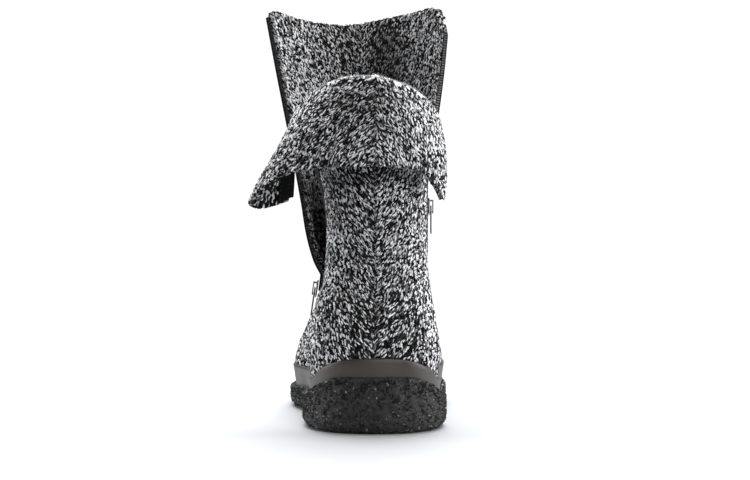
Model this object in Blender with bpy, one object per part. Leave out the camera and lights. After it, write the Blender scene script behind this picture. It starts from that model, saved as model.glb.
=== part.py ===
"""Left snow boot: knit felt upper with two side zips, dark rand and thick crepe sole.

Metres, +Z up, toe towards +Y, outer side of the foot towards -X. The origin is
on the floor under the middle of the heel. The rear half of the shaft is folded
down outwards over itself, and the front half stands up.
"""
import math

import bmesh
import bpy
from mathutils import Matrix, Vector

# Sole
SOLE_LENGTH = 0.275
HEEL_WIDTH = 0.085
BALL_WIDTH = 0.105
HEEL_SETBACK = 0.040        # from the sole's back end to the origin
CREPE_HEEL = 0.0195         # height of the crepe wall at the heel's sides
CREPE_FOREFOOT = 0.0135
CREPE_BACK_RISE = 0.0125    # how much higher the wall is behind the heel
FOOTBED_HEEL = 0.0165       # height of the floor inside the crepe wall
FOOTBED_FOREFOOT = 0.0105
TOE_SPRING = 0.010
ARCH_LIFT = 0.0025
SOLE_CORNER = 0.0065        # rounding of the sole's lower edge
CREPE_LIP = 0.0030          # crepe outside the rand
CREPE_EDGE = 0.0016         # rounding of the wall's top edge

# Rand
RAND_WALL = 0.0022
RAND_TOP = 0.0285           # height of the rand's top at the heel's sides
RAND_BACK_RISE = 0.0150
RAND_TOE_RISE = 0.0060
RAND_CLEARANCE = 0.0005     # between the rand and the upper

# Upper
WALL = 0.0030
COLLAR_HEIGHT = 0.250
ZIP_BOTTOM = 0.075
GAP = 0.0003                # between pieces that touch
INSOLE_THICKNESS = 0.0040
INSOLE_EDGE = 0.0010        # rounding of the insole's top edge

# Front half of the shaft, spread at the collar
OUTER_SPREAD = 0.0345       # how far its outer edge swings out at the collar
INNER_SPREAD = 0.0120
OUTER_FORWARD = 0.025
INNER_FORWARD = 0.018

# Rear half of the shaft, folded down
CREASE_HEIGHT = 0.201
CREASE_OUTER = 0.044        # half width of the fold on the outer side
CREASE_INNER = 0.031
CREASE_OUTER_DROP = 0.024
CREASE_INNER_DROP = 0.016
CREASE_BACK = 0.031         # how far the fold lies behind the origin
CREASE_ENDS = 0.009         # how far its ends lie in front of the origin
FOLD_RADIUS = 0.0028
FOLD_SWEEP = math.radians(62.0)     # how far the fold turns from its middle to each end
FOLD_REACH = 0.020          # a flap that reaches out less than this pulls the fold less
FLAP_OUTER_SWEEP = math.radians(140.0)  # the flap's outer corner curls back in
FLAP_OUTER = 0.070
FLAP_INNER = 0.0375
FLAP_BACK = 0.044
FLAP_OUTER_END = 0.004      # how far the curled corner lies in front of the origin
FLAP_INNER_END = -0.010
FLAP_BELLY = 0.003
REAR_TUCK = 0.003           # how far the rear half's outer edge is tucked in

# Zips
ZIP_GAP = 0.006             # between the two knit edges where the zip is closed
ZIP_TAPER = 0.003           # height over which the slit opens to that gap
TAPE_WIDTH = 0.0080         # sewn down, outside the knit
TAPE_WALL = 0.0006
TAPE_CLEARANCE = 0.0007     # between the tapes and the knit
TEETH_WIDTH = 0.0018
TEETH_WALL = 0.0018
OUTER_SLIDER_HEIGHT = 0.080
INNER_SLIDER_HEIGHT = 0.130
SLIDER_LENGTH = 0.0100
SLIDER_WIDTH = 0.0080
SLIDER_PLATE = 0.0008
SLIDER_CLEARANCE = 0.0006   # over the tapes
OUTER_SWING_START = 0.0040  # above the slider's top, where the front edge leaves the zip
INNER_SWING_START = 0.0015
SLIDER_BEVEL = 0.0004
BRIDGE_LENGTH = 0.0080
BRIDGE_WIDTH = 0.0022
BRIDGE_WALL = 0.0006
PULL_WALL = 0.0008
PULL_WIDTH = 0.0056
PULL_LENGTH = 0.0165
PULL_EYE = 0.0050
PULL_BEVEL = 0.0003
EYE_CLEARANCE = 0.0005      # between the bridge and each side of the pull's eye

# Grid
STEPS_PER_POINT = 3         # columns of faces for each row of a plan table
FOOT_ROWS = 8
FOLD_ROWS = 4
FLAP_ROWS = 8

SOLE_BACK = -HEEL_SETBACK
UPPER_INSET = CREPE_LIP + GAP + RAND_WALL + RAND_CLEARANCE
LAST_BACK = SOLE_BACK + UPPER_INSET
LAST_LENGTH = SOLE_LENGTH - 2.0 * UPPER_INSET
LAST_HEEL = HEEL_WIDTH - 2.0 * UPPER_INSET
LAST_BALL = BALL_WIDTH - 2.0 * UPPER_INSET

# Outline of the foot, from the middle of the heel over the outer side to the toe and back.
# Columns: share of the length, and share of the local width with the outer side negative.
FOOT_PLAN = (
    (0.000, 0.00),
    (0.022, -0.27),
    (0.085, -0.435),
    (0.185, -0.50),
    (0.300, -0.49),
    (0.430, -0.475),
    (0.600, -0.535),
    (0.760, -0.505),
    (0.885, -0.365),
    (0.968, -0.165),
    (1.000, 0.06),
    (0.974, 0.265),
    (0.895, 0.405),
    (0.780, 0.455),
    (0.650, 0.450),
    (0.455, 0.375),
    (0.305, 0.425),
    (0.185, 0.49),
    (0.085, 0.435),
    (0.022, 0.27),
)

# Outline of the shaft, in the same order.
SHAFT_PLAN = (
    (0.000, 0.00),
    (0.030, -0.200),
    (0.120, -0.380),
    (0.250, -0.480),
    (0.440, -0.500),
    (0.600, -0.470),
    (0.740, -0.400),
    (0.850, -0.310),
    (0.930, -0.210),
    (0.980, -0.105),
    (1.000, 0.000),
    (0.980, 0.105),
    (0.930, 0.210),
    (0.850, 0.310),
    (0.740, 0.400),
    (0.600, 0.470),
    (0.440, 0.500),
    (0.250, 0.480),
    (0.120, 0.380),
    (0.030, 0.200),
)
ZIP_TURN = 4.0 / len(FOOT_PLAN)

# Sections of the closed upper, from the sole to the collar.
# The first column is the share of the way from the footbed to the collar. back and front are
# shares of the last's length, heel and ball are shares of its widths, and shaft is how far the
# outline has become the shaft's.
BACK, FRONT, HEEL, BALL, SHAFT = range(1, 6)
SECTIONS = (
    (0.000, 0.000, 1.000, 1.000, 1.000, 0.00),
    (0.052, -0.004, 0.998, 1.012, 1.035, 0.00),
    (0.091, -0.010, 0.986, 1.050, 1.050, 0.00),
    (0.142, -0.008, 0.940, 1.037, 0.985, 0.02),
    (0.185, -0.003, 0.868, 0.996, 0.900, 0.08),
    (0.228, 0.006, 0.777, 0.952, 0.820, 0.18),
    (0.271, 0.016, 0.685, 0.905, 0.755, 0.35),
    (0.322, 0.026, 0.592, 0.862, 0.700, 0.60),
    (0.378, 0.032, 0.530, 0.838, 0.665, 0.85),
    (0.442, 0.033, 0.489, 0.826, 0.655, 1.00),
    (0.571, 0.029, 0.456, 0.820, 0.655, 1.00),
    (0.785, 0.020, 0.445, 0.842, 0.665, 1.00),
    (1.000, 0.012, 0.450, 0.864, 0.680, 1.00),
)

# How far the front half's collar stands above or below COLLAR_HEIGHT. Columns: share of the way
# from the outer zip over the front to the inner zip, and that rise.
RISE = 1
COLLAR_RISE = (
    (0.00, 0.0005),
    (0.04, 0.0018),
    (0.15, 0.0008),
    (0.32, 0.0000),
    (0.45, 0.0008),
    (0.60, 0.0035),
    (0.75, 0.0050),
    (0.88, 0.0050),
    (0.95, 0.0015),
    (1.00, -0.0100),
)

# Lower edge of the flap. Columns: place from its outer corner at -1 to its inner corner at 1, and
# the height of the edge.
HEIGHT = 1
FLAP_EDGE = (
    (-1.00, 0.133),
    (-0.88, 0.129),
    (-0.74, 0.128),
    (-0.60, 0.130),
    (-0.44, 0.136),
    (-0.24, 0.147),
    (0.00, 0.150),
    (0.45, 0.150),
    (0.75, 0.146),
    (0.90, 0.139),
    (1.00, 0.133),
)

# How the front half's free edges swing away. Columns: share of the way from where the edge
# leaves the zip to the collar, and shares of the outward and forward spread.
OUT, FORWARD = range(1, 3)
OUTER_SWING = (
    (0.000, 0.000, 0.000),
    (0.055, 0.150, 0.015),
    (0.147, 0.286, 0.050),
    (0.273, 0.385, 0.120),
    (0.565, 0.630, 0.450),
    (0.783, 0.820, 0.740),
    (1.000, 1.000, 1.000),
)
INNER_SWING = (
    (0.000, 0.000, 0.000),
    (0.130, 0.080, 0.050),
    (0.450, 0.500, 0.400),
    (0.725, 0.800, 0.750),
    (1.000, 1.000, 1.000),
)

# Heights of the rows of faces on each half of the shaft, and where the zips' strips start and end.
FRONT_RISES = (0.0, 0.02, 0.055, 0.10, 0.16, 0.23, 0.31, 0.40, 0.50, 0.61, 0.72, 0.83, 0.93, 1.0)
REAR_RISES = (0.0, 0.035, 0.09, 0.20, 0.34, 0.48, 0.62, 0.74, 0.85, 0.94, 1.0)
FRONT_STRIP_ENDS = (0.022, 0.985)
REAR_STRIP_ENDS = (0.035, 2.97)


def smooth(low, high, value):
    """Soft step from 0 at low to 1 at high."""
    share = min(max((value - low) / (high - low), 0.0), 1.0)
    return share * share * (3.0 - 2.0 * share)


def mix(first, second, share):
    return first + (second - first) * share


def curve(rows, column, place):
    """Smooth value of one column of a table at a place on its first column."""
    last = len(rows) - 1
    place = min(max(place, rows[0][0]), rows[last][0])
    index = 0
    while index < last - 1 and place > rows[index + 1][0]:
        index += 1

    def slope(row):
        low = max(row - 1, 0)
        high = min(row + 1, last)
        return (rows[high][column] - rows[low][column]) / (rows[high][0] - rows[low][0])

    step = rows[index + 1][0] - rows[index][0]
    share = (place - rows[index][0]) / step
    start = rows[index][column]
    end = rows[index + 1][column]
    cube = share * share * share
    square = share * share
    value = start * (2.0 * cube - 3.0 * square + 1.0) + end * (3.0 * square - 2.0 * cube)
    value += slope(index) * step * (cube - 2.0 * square + share)
    value += slope(index + 1) * step * (cube - square)
    return value


def plan(rows, turn):
    """Point of a closed plan table at a share of the way round: (along, across)."""
    count = len(rows)
    place = (turn % 1.0) * count
    index = int(place)
    share = place - index
    before, start, end, after = (rows[(index + shift) % count] for shift in (-1, 0, 1, 2))
    point = []
    for column in range(2):
        first = start[column]
        slope_in = 0.5 * (end[column] - before[column])
        slope_out = 0.5 * (after[column] - first)
        square = share * share
        cube = square * share
        value = first * (2.0 * cube - 3.0 * square + 1.0) + end[column] * (3.0 * square - 2.0 * cube)
        value += slope_in * (cube - 2.0 * square + share) + slope_out * (cube - square)
        point.append(value)
    return point


def local_width(along, heel, ball):
    return mix(heel, ball, smooth(0.20, 0.62, along))


def ground(along):
    """Height of the sole's underside: flat heel and forefoot, low arch, toe spring."""
    arch = ARCH_LIFT * smooth(0.30, 0.40, along) * (1.0 - smooth(0.46, 0.56, along))
    toe = max(along - 0.74, 0.0) / 0.26
    return arch + TOE_SPRING * toe * toe


def heel_to_toe(heel, forefoot, along):
    toe = max(along - 0.74, 0.0) / 0.26
    return mix(heel, forefoot, smooth(0.22, 0.62, along)) + TOE_SPRING * toe * toe


def back_hump(along):
    return 1.0 - smooth(0.0, 0.15, along)


def crepe_top(along):
    return heel_to_toe(CREPE_HEEL, CREPE_FOREFOOT, along) + CREPE_BACK_RISE * back_hump(along)


def footbed(along):
    return heel_to_toe(FOOTBED_HEEL, FOOTBED_FOREFOOT, along)


def rand_top(along):
    toe = RAND_TOE_RISE * smooth(0.72, 1.0, along)
    return RAND_TOP + RAND_BACK_RISE * back_hump(along) + toe


def along_of(point):
    """Share of the sole's length at which a point lies."""
    return (point.y - SOLE_BACK) / SOLE_LENGTH


def upper_base(turn):
    """Height of the upper's lower edge at a share of the way round."""
    edge = Vector((0.0, LAST_BACK + LAST_LENGTH * plan(FOOT_PLAN, turn)[0], 0.0))
    return footbed(along_of(edge)) + GAP


def sole_point(turn):
    along, across = plan(FOOT_PLAN, turn)
    x = across * local_width(along, HEEL_WIDTH, BALL_WIDTH)
    return Vector((x, SOLE_BACK + along * SOLE_LENGTH, 0.0))


def closed_point(turn, up):
    """Outer face of the upper with both zips closed."""
    foot_along, foot_across = plan(FOOT_PLAN, turn)
    shaft_along, shaft_across = plan(SHAFT_PLAN, turn)
    shaft = curve(SECTIONS, SHAFT, up)
    along = mix(foot_along, shaft_along, shaft)
    across = mix(foot_across, shaft_across, shaft)
    heel = LAST_HEEL * curve(SECTIONS, HEEL, up)
    ball = LAST_BALL * curve(SECTIONS, BALL, up)
    back = LAST_BACK + LAST_LENGTH * curve(SECTIONS, BACK, up)
    front = LAST_BACK + LAST_LENGTH * curve(SECTIONS, FRONT, up)
    base = upper_base(turn)
    x = across * local_width(along, heel, ball)
    return Vector((x, mix(back, front, along), mix(base, COLLAR_HEIGHT, up)))


def up_at_height(turn, height):
    base = upper_base(turn)
    return (height - base) / (COLLAR_HEIGHT - base)


def half_gap(height):
    """Half the width of the slit for the zip at a height."""
    return 0.5 * ZIP_GAP * smooth(0.0, ZIP_TAPER, height - ZIP_BOTTOM)


def swing(rows, height, slider_height, start):
    """Shares of the outward and forward spread at a height."""
    low = slider_height + 0.5 * SLIDER_LENGTH + start
    place = (height - low) / (COLLAR_HEIGHT - low)
    return curve(rows, OUT, place), curve(rows, FORWARD, place)


def front_point(share, rise):
    """Front half of the shaft. share runs from the outer zip over the front to the inner zip."""
    turn = mix(ZIP_TURN, 1.0 - ZIP_TURN, share)
    low = up_at_height(turn, ZIP_BOTTOM)
    point = closed_point(turn, mix(low, 1.0, rise))
    outer = (1.0 - share) ** 1.4
    inner = share ** 1.4
    outer_out, outer_forward = swing(OUTER_SWING, point.z, OUTER_SLIDER_HEIGHT, OUTER_SWING_START)
    inner_out, inner_forward = swing(INNER_SWING, point.z, INNER_SLIDER_HEIGHT, INNER_SWING_START)
    point.x += INNER_SPREAD * inner_out * inner - OUTER_SPREAD * outer_out * outer
    point.y += INNER_FORWARD * inner_forward * inner + OUTER_FORWARD * outer_forward * outer
    gap = half_gap(point.z)
    point.y += gap * max(1.0 - 8.0 * share, 0.0) + gap * max(8.0 * share - 7.0, 0.0)
    point.z += rise * rise * curve(COLLAR_RISE, RISE, share)
    return point


def arc_round_back(share, outer, inner, back, end, sweep):
    """Plan curve of a folded edge, from its outer end over the back to its inner end."""
    angle = sweep * (2.0 * share - 1.0)
    middle = 0.5 * (inner - outer)
    half = 0.5 * (inner + outer)
    x = middle + half * math.sin(angle) / math.sin(min(sweep, 0.5 * math.pi))
    forward = (1.0 - math.cos(angle)) / (1.0 - math.cos(sweep))
    return Vector((x, mix(-back, end, forward), 0.0))


def crease_point(share):
    """Top of the fold on the rear half's own outer face."""
    point = arc_round_back(share, CREASE_OUTER, CREASE_INNER, CREASE_BACK, CREASE_ENDS, FOLD_SWEEP)
    drop = CREASE_OUTER_DROP if share < 0.5 else CREASE_INNER_DROP
    point.z = CREASE_HEIGHT - WALL - drop * (2.0 * share - 1.0) ** 2
    return point


def flap_edge_point(share):
    """Collar edge of the folded half, at the bottom of the flap."""
    if share < 0.5:
        end, sweep = FLAP_OUTER_END, FLAP_OUTER_SWEEP
    else:
        end, sweep = FLAP_INNER_END, FOLD_SWEEP
    point = arc_round_back(share, FLAP_OUTER, FLAP_INNER, FLAP_BACK, end, sweep)
    point.z = curve(FLAP_EDGE, HEIGHT, 2.0 * share - 1.0)
    return point


def fold_direction(share):
    """Plan direction in which the cloth turns over: between square to the fold and the flap's reach."""
    step = 0.01
    tangent = crease_point(share + step) - crease_point(share - step)
    square = Vector((tangent.y, -tangent.x, 0.0)).normalized()
    reach = flap_edge_point(share) - crease_point(share)
    reach.z = 0.0
    return (square + reach / max(reach.length, FOLD_REACH)).normalized()


def rear_panel_point(share, rise):
    """Rear half of the shaft, from the zip's bottom to just below the fold."""
    turn = (ZIP_TURN - 2.0 * ZIP_TURN * share) % 1.0
    crease = crease_point(share)
    top = crease.z - FOLD_RADIUS
    height = mix(ZIP_BOTTOM, top, rise)
    point = closed_point(turn, up_at_height(turn, height))
    gap = half_gap(point.z)
    point.y -= gap * (max(1.0 - 8.0 * share, 0.0) + max(8.0 * share - 7.0, 0.0))
    tuck = REAR_TUCK * smooth(0.0, 0.08, rise) * (1.0 - smooth(0.35, 0.75, rise))
    point.x += tuck * (1.0 - share) ** 3
    lean = max((rise - 0.55) / 0.45, 0.0) ** 2
    return Vector((mix(point.x, crease.x, lean), mix(point.y, crease.y, lean), height))


def rear_point(share, rise):
    """Rear half along the cloth: rise 0 to 1 is the panel, 1 to 2 the fold, 2 to 3 the flap."""
    if rise <= 1.0:
        return rear_panel_point(share, rise)
    crease = crease_point(share)
    edge = flap_edge_point(share)
    away = fold_direction(share)
    if rise <= 2.0:
        angle = math.pi * (rise - 1.0)
        point = crease + away * (FOLD_RADIUS * (1.0 - math.cos(angle)))
        point.z += FOLD_RADIUS * (math.sin(angle) - 1.0)
        return point
    start = crease + away * (2.0 * FOLD_RADIUS)
    start.z -= FOLD_RADIUS
    share_down = rise - 2.0
    belly = FLAP_BELLY * smooth(0.10, 0.45, share)
    return start.lerp(edge, share_down) + away * (belly * math.sin(math.pi * share_down))


def surface_normal(surface, share, rise, flip):
    """Unit normal of a surface, away from the foot."""
    step = 0.002
    share_low = max(share - step, 0.0)
    share_high = min(share + step, 1.0)
    along = surface(share_high, rise) - surface(share_low, rise)
    up = surface(share, rise + step) - surface(share, rise - step)
    return (along.cross(up) * flip).normalized()


def material(name, colour, roughness, metallic=0.0):
    made = bpy.data.materials.new(name)
    made.use_nodes = True
    shader = made.node_tree.nodes["Principled BSDF"]
    shader.inputs["Base Color"].default_value = (*colour, 1.0)
    shader.inputs["Roughness"].default_value = roughness
    shader.inputs["Metallic"].default_value = metallic
    return made


def add_object(name, mesh, finish):
    mesh.materials.append(finish)
    mesh.shade_smooth()
    mesh.set_sharp_from_angle(angle=math.radians(50.0))
    piece = bpy.data.objects.new(name, mesh)
    bpy.context.collection.objects.link(piece)
    return piece


def object_from_bmesh(name, work, finish):
    mesh = bpy.data.meshes.new(name)
    work.to_mesh(mesh)
    work.free()
    return add_object(name, mesh, finish)


def column_turns():
    count = len(FOOT_PLAN) * STEPS_PER_POINT
    return [index / count for index in range(count)]


def inset_ring(points, distances):
    """Points of a plan ring moved inwards, square to the ring, by one distance each."""
    count = len(points)
    moved = []
    for index in range(count):
        tangent = points[(index + 1) % count] - points[index - 1]
        inward = Vector((tangent.y, -tangent.x, 0.0)).normalized()
        moved.append(points[index] + inward * distances[index])
    return moved


def ring_loft(work, rings):
    """Quads between closed rings of points. Returns the rings of vertices."""
    made = [[work.verts.new(point) for point in ring] for ring in rings]
    count = len(rings[0])
    for lower, upper in zip(made, made[1:]):
        for index in range(count):
            after = (index + 1) % count
            work.faces.new((lower[index], upper[index], upper[after], lower[after]))
    return made


def cap_across(work, ring):
    """Faces across a long ring, from each point to its partner on the other side."""
    count = len(ring)
    half = count // 2
    work.faces.new((ring[0], ring[1], ring[count - 1]))
    for index in range(1, half - 1):
        work.faces.new((ring[index], ring[index + 1], ring[count - index - 1], ring[count - index]))
    work.faces.new((ring[half - 1], ring[half], ring[half + 1]))


def towards_spine(points, share):
    """Ring drawn in towards the line down its middle."""
    count = len(points)
    drawn = []
    for index in range(count):
        partner = points[(count - index) % count]
        middle = (points[index] + partner) * 0.5
        drawn.append(middle.lerp(points[index], share))
    return drawn


def rand_level(share):
    """Height at a share of the rand, from the footbed to its top edge."""
    return lambda along: mix(footbed(along) + GAP, rand_top(along), share)


def wall_ring(height_of, offset):
    """Ring round the upper's own wall: at height_of(along), offset outwards in plan."""
    ring = []
    for turn in column_turns():
        along = along_of(closed_point(turn, 0.0))
        ring.append(closed_point(turn, max(up_at_height(turn, height_of(along)), 0.0)))
    moved = inset_ring(ring, [-offset] * len(ring))
    for point, flat in zip(moved, ring):
        point.z = flat.z
    return moved


def set_heights(points, height_of):
    placed = []
    for point in points:
        placed.append(Vector((point.x, point.y, height_of(along_of(point)))))
    return placed


def build_outsole(finish):
    """Thick crepe sole: a slab with a low wall round its edge, higher behind the heel."""
    outline = [sole_point(turn) for turn in column_turns()]
    count = len(outline)
    alongs = [plan(FOOT_PLAN, turn)[0] for turn in column_turns()]

    def side_ring(inset, level):
        """level 0 is the underside, 1 the top of the wall."""
        ring = inset_ring(outline, [inset] * count)
        for point, along in zip(ring, alongs):
            point.z = mix(ground(along), crepe_top(along), level)
        return ring

    def corner_ring(inset, rise):
        ring = inset_ring(outline, [inset] * count)
        for point, along in zip(ring, alongs):
            point.z = ground(along) + rise
        return ring

    tread = inset_ring(outline, [SOLE_CORNER] * count)
    rand_reach = RAND_CLEARANCE + RAND_WALL + GAP
    seat = wall_ring(footbed, rand_reach)
    last_base = wall_ring(footbed, 0.0)
    for point in seat:
        point.z -= GAP
    rings = [
        set_heights(towards_spine(tread, 0.12), ground),
        set_heights(towards_spine(tread, 0.60), ground),
        set_heights(tread, ground),
        corner_ring(0.30 * SOLE_CORNER, 0.30 * SOLE_CORNER),
        corner_ring(0.04 * SOLE_CORNER, SOLE_CORNER),
        side_ring(0.0, 0.62),
        side_ring(0.3 * CREPE_EDGE, 0.90),
        side_ring(CREPE_EDGE, 1.0),
        wall_ring(crepe_top, rand_reach + 0.3 * CREPE_EDGE),
        seat,
        set_heights(towards_spine(last_base, 0.60), footbed),
        set_heights(towards_spine(last_base, 0.12), footbed),
    ]
    work = bmesh.new()
    made = ring_loft(work, rings)
    cap_across(work, made[0])
    cap_across(work, made[-1])
    bmesh.ops.recalc_face_normals(work, faces=work.faces)
    return object_from_bmesh("outsole", work, finish)


def build_rand(finish):
    """Smooth band round the foot of the upper, standing inside the crepe wall."""
    inside = RAND_CLEARANCE
    outside = RAND_CLEARANCE + RAND_WALL
    rings = [
        wall_ring(rand_level(0.0), inside),
        wall_ring(rand_level(0.0), outside),
        wall_ring(rand_level(0.5), outside),
        wall_ring(rand_level(0.92), outside),
        wall_ring(rand_level(1.0), outside - 0.5 * RAND_WALL),
        wall_ring(rand_level(1.0), inside),
        wall_ring(rand_level(0.5), inside),
    ]
    work = bmesh.new()
    made = ring_loft(work, rings)
    first = made[0]
    last = made[-1]
    count = len(first)
    for index in range(count):
        after = (index + 1) % count
        work.faces.new((last[index], first[index], first[after], last[after]))
    bmesh.ops.recalc_face_normals(work, faces=work.faces)
    return object_from_bmesh("rand", work, finish)


def build_insole(finish):
    """Flat sock on the footbed, inside the wall of the upper."""
    reach = WALL + 2.0 * GAP
    base = wall_ring(footbed, -reach)

    def lifted(ring, rise):
        return set_heights(ring, lambda along: footbed(along) + rise)

    top = GAP + INSOLE_THICKNESS
    narrow = wall_ring(footbed, -reach - INSOLE_EDGE)
    rings = [
        lifted(towards_spine(base, 0.12), GAP),
        lifted(towards_spine(base, 0.62), GAP),
        lifted(base, GAP),
        lifted(base, top - INSOLE_EDGE),
        lifted(narrow, top),
        lifted(towards_spine(narrow, 0.55), top),
        lifted(towards_spine(narrow, 0.12), top),
    ]
    work = bmesh.new()
    made = ring_loft(work, rings)
    cap_across(work, made[0])
    cap_across(work, made[-1])
    bmesh.ops.recalc_face_normals(work, faces=work.faces)
    return object_from_bmesh("insole", work, finish)


def build_upper(finish):
    """One hollow knit shell, open at the collar, at both zips and under the foot."""
    work = bmesh.new()
    turns = column_turns()
    count = len(turns)
    zip_column = round(ZIP_TURN * count)
    levels = [wall_ring(rand_level(share), 0.0) for share in (0.0, 0.5, 1.0)]
    for row in range(1, FOOT_ROWS + 1):
        ring = []
        for turn in turns:
            rand_up = up_at_height(turn, rand_top(along_of(closed_point(turn, 0.0))))
            zip_up = up_at_height(turn, ZIP_BOTTOM)
            ring.append(closed_point(turn, mix(rand_up, zip_up, row / FOOT_ROWS)))
        levels.append(ring)
    rows = [[work.verts.new(point) for point in ring] for ring in levels]
    for lower, upper in zip(rows, rows[1:]):
        for index in range(count):
            after = (index + 1) % count
            work.faces.new((lower[index], upper[index], upper[after], lower[after]))
    rim = rows[-1]
    front_columns = [rim[index] for index in range(zip_column, count - zip_column + 1)]
    rear_columns = [rim[(zip_column - index) % count] for index in range(2 * zip_column + 1)]
    add_panel(work, front_columns, front_point, FRONT_RISES[1:], False)
    add_panel(work, rear_columns, rear_point, rear_rises(), True)
    upper = object_from_bmesh("upper", work, finish)
    shell = upper.modifiers.new("wall", "SOLIDIFY")
    shell.thickness = WALL
    shell.offset = -1.0
    shell.use_even_offset = False
    shell.use_quality_normals = True
    return upper


def add_panel(work, start, surface, rises, turned):
    """Rows of faces on one half of the shaft, from its lowest row of vertices upwards."""
    lower = start
    last = len(start) - 1
    for rise in rises:
        upper = [work.verts.new(surface(index / last, rise)) for index in range(last + 1)]
        for index in range(last):
            face = (lower[index], upper[index], upper[index + 1], lower[index + 1])
            work.faces.new(tuple(reversed(face)) if turned else face)
        lower = upper


def edge_frame(surface, side, rise):
    """Edge point of a panel, the way into the panel, and the way out of its face."""
    share = 0.0 if side == "outer" else 1.0
    inwards = 0.004 if side == "outer" else -0.004
    flip = -1.0 if surface is front_point else 1.0
    edge = surface(share, rise)
    into = (surface(share + inwards, rise) - edge).normalized()
    return edge, into, surface_normal(surface, share, rise, flip)


def panel_columns(surface):
    """How many columns of faces a half of the shaft has between its two zips."""
    count = len(FOOT_PLAN) * STEPS_PER_POINT
    rear = round(2.0 * ZIP_TURN * count)
    return count - rear if surface is front_point else rear


def panel_point_inside(surface, side, rise, distance):
    """Point and normal on a panel's faces at a distance in from its free edge."""
    share = 0.0 if side == "outer" else 1.0
    step = (1.0 if side == "outer" else -1.0) / panel_columns(surface)
    flip = -1.0 if surface is front_point else 1.0
    near = surface(share, rise)
    far = surface(share + step, rise)
    while (far - near).length < distance:
        distance -= (far - near).length
        share += step
        near, far = far, surface(share + step, rise)
    part = distance / (far - near).length
    near_out = surface_normal(surface, share, rise, flip)
    far_out = surface_normal(surface, share + step, rise, flip)
    return near.lerp(far, part), near_out.lerp(far_out, part).normalized()


def first_column_width(surface, side, rise):
    share = 0.0 if side == "outer" else 1.0
    step = (1.0 if side == "outer" else -1.0) / panel_columns(surface)
    return (surface(share + step, rise) - surface(share, rise)).length


def rear_rises():
    """Rows of the rear half above the zip's bottom: its panel, its fold and its flap."""
    rises = list(REAR_RISES[1:])
    rises += [1.0 + (step + 1) / FOLD_ROWS for step in range(FOLD_ROWS)]
    rises += [2.0 + (step + 1) / FLAP_ROWS for step in range(FLAP_ROWS)]
    return rises


def strip_rises(surface):
    if surface is front_point:
        (low, high), between = FRONT_STRIP_ENDS, list(FRONT_RISES[2:-1])
    else:
        (low, high), between = REAR_STRIP_ENDS, rear_rises()[1:-1]
    return [low] + between + [high]


def build_strip(name, surface, side, section, finish):
    """Strip along a free edge. section gives the ring of points at a rise."""
    work = bmesh.new()
    rings = [section(surface, side, rise) for rise in strip_rises(surface)]
    made = ring_loft(work, rings)
    work.faces.new(made[0])
    work.faces.new(made[-1])
    bmesh.ops.recalc_face_normals(work, faces=work.faces)
    return object_from_bmesh(name, work, finish)


def tape_section(surface, side, rise):
    """Tape on the knit's outer face, reaching past the edge to the middle of the zip."""
    edge, into, out = edge_frame(surface, side, rise)
    near = TAPE_CLEARANCE
    far = TAPE_CLEARANCE + TAPE_WALL
    free = edge - into * (0.5 * ZIP_GAP - GAP)
    first = min(first_column_width(surface, side, rise), 0.9 * TAPE_WIDTH)
    middle, middle_out = panel_point_inside(surface, side, rise, first * 0.999)
    end, end_out = panel_point_inside(surface, side, rise, TAPE_WIDTH)
    return [
        free + out * near,
        edge + out * near,
        middle + middle_out * near,
        end + end_out * near,
        end + end_out * far,
        middle + middle_out * far,
        edge + out * far,
        free + out * far,
    ]


def teeth_section(surface, side, rise):
    """Row of teeth under the tape's free edge, in the slit."""
    edge, into, out = edge_frame(surface, side, rise)
    free = 0.5 * ZIP_GAP - GAP
    held = free - TEETH_WIDTH
    near = TAPE_CLEARANCE - GAP
    far = near - TEETH_WALL
    return [
        edge - into * free + out * near,
        edge - into * held + out * near,
        edge - into * held + out * far,
        edge - into * free + out * far,
    ]


def box_object(name, low, high, finish, bevel=0.0):
    work = bmesh.new()
    made = bmesh.ops.create_cube(work, size=1.0)["verts"]
    bmesh.ops.scale(work, vec=Vector(high) - Vector(low), verts=made)
    bmesh.ops.translate(work, vec=(Vector(high) + Vector(low)) * 0.5, verts=made)
    if bevel > 0.0:
        bmesh.ops.bevel(work, geom=list(work.edges), offset=bevel, segments=1, affect="EDGES")
    return object_from_bmesh(name, work, finish)


def helper(name, low, high, finish):
    """Solid that only cuts or joins another."""
    made = box_object(name, low, high, finish)
    made.hide_render = True
    made.display_type = "WIRE"
    return made


def boolean(piece, other, operation):
    step = piece.modifiers.new(other.name, "BOOLEAN")
    step.operation = operation
    step.solver = "EXACT"
    step.object = other


def slider_frame(side, height):
    """Matrix of a zip's slider: X away from the shaft, Z up along the zip."""
    turn = ZIP_TURN if side == "outer" else 1.0 - ZIP_TURN
    up = up_at_height(turn, height)
    middle = closed_point(turn, up)
    rise = (closed_point(turn, up + 0.02) - closed_point(turn, up - 0.02)).normalized()
    round_way = closed_point(turn - 0.01, up) - closed_point(turn + 0.01, up)
    round_way = (round_way - rise * round_way.dot(rise)).normalized()
    out = round_way.cross(rise).normalized()
    if out.x * middle.x < 0.0:
        out = -out
    side_way = rise.cross(out)
    frame = Matrix((out, side_way, rise)).transposed().to_4x4()
    frame.translation = middle
    return frame


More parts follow.
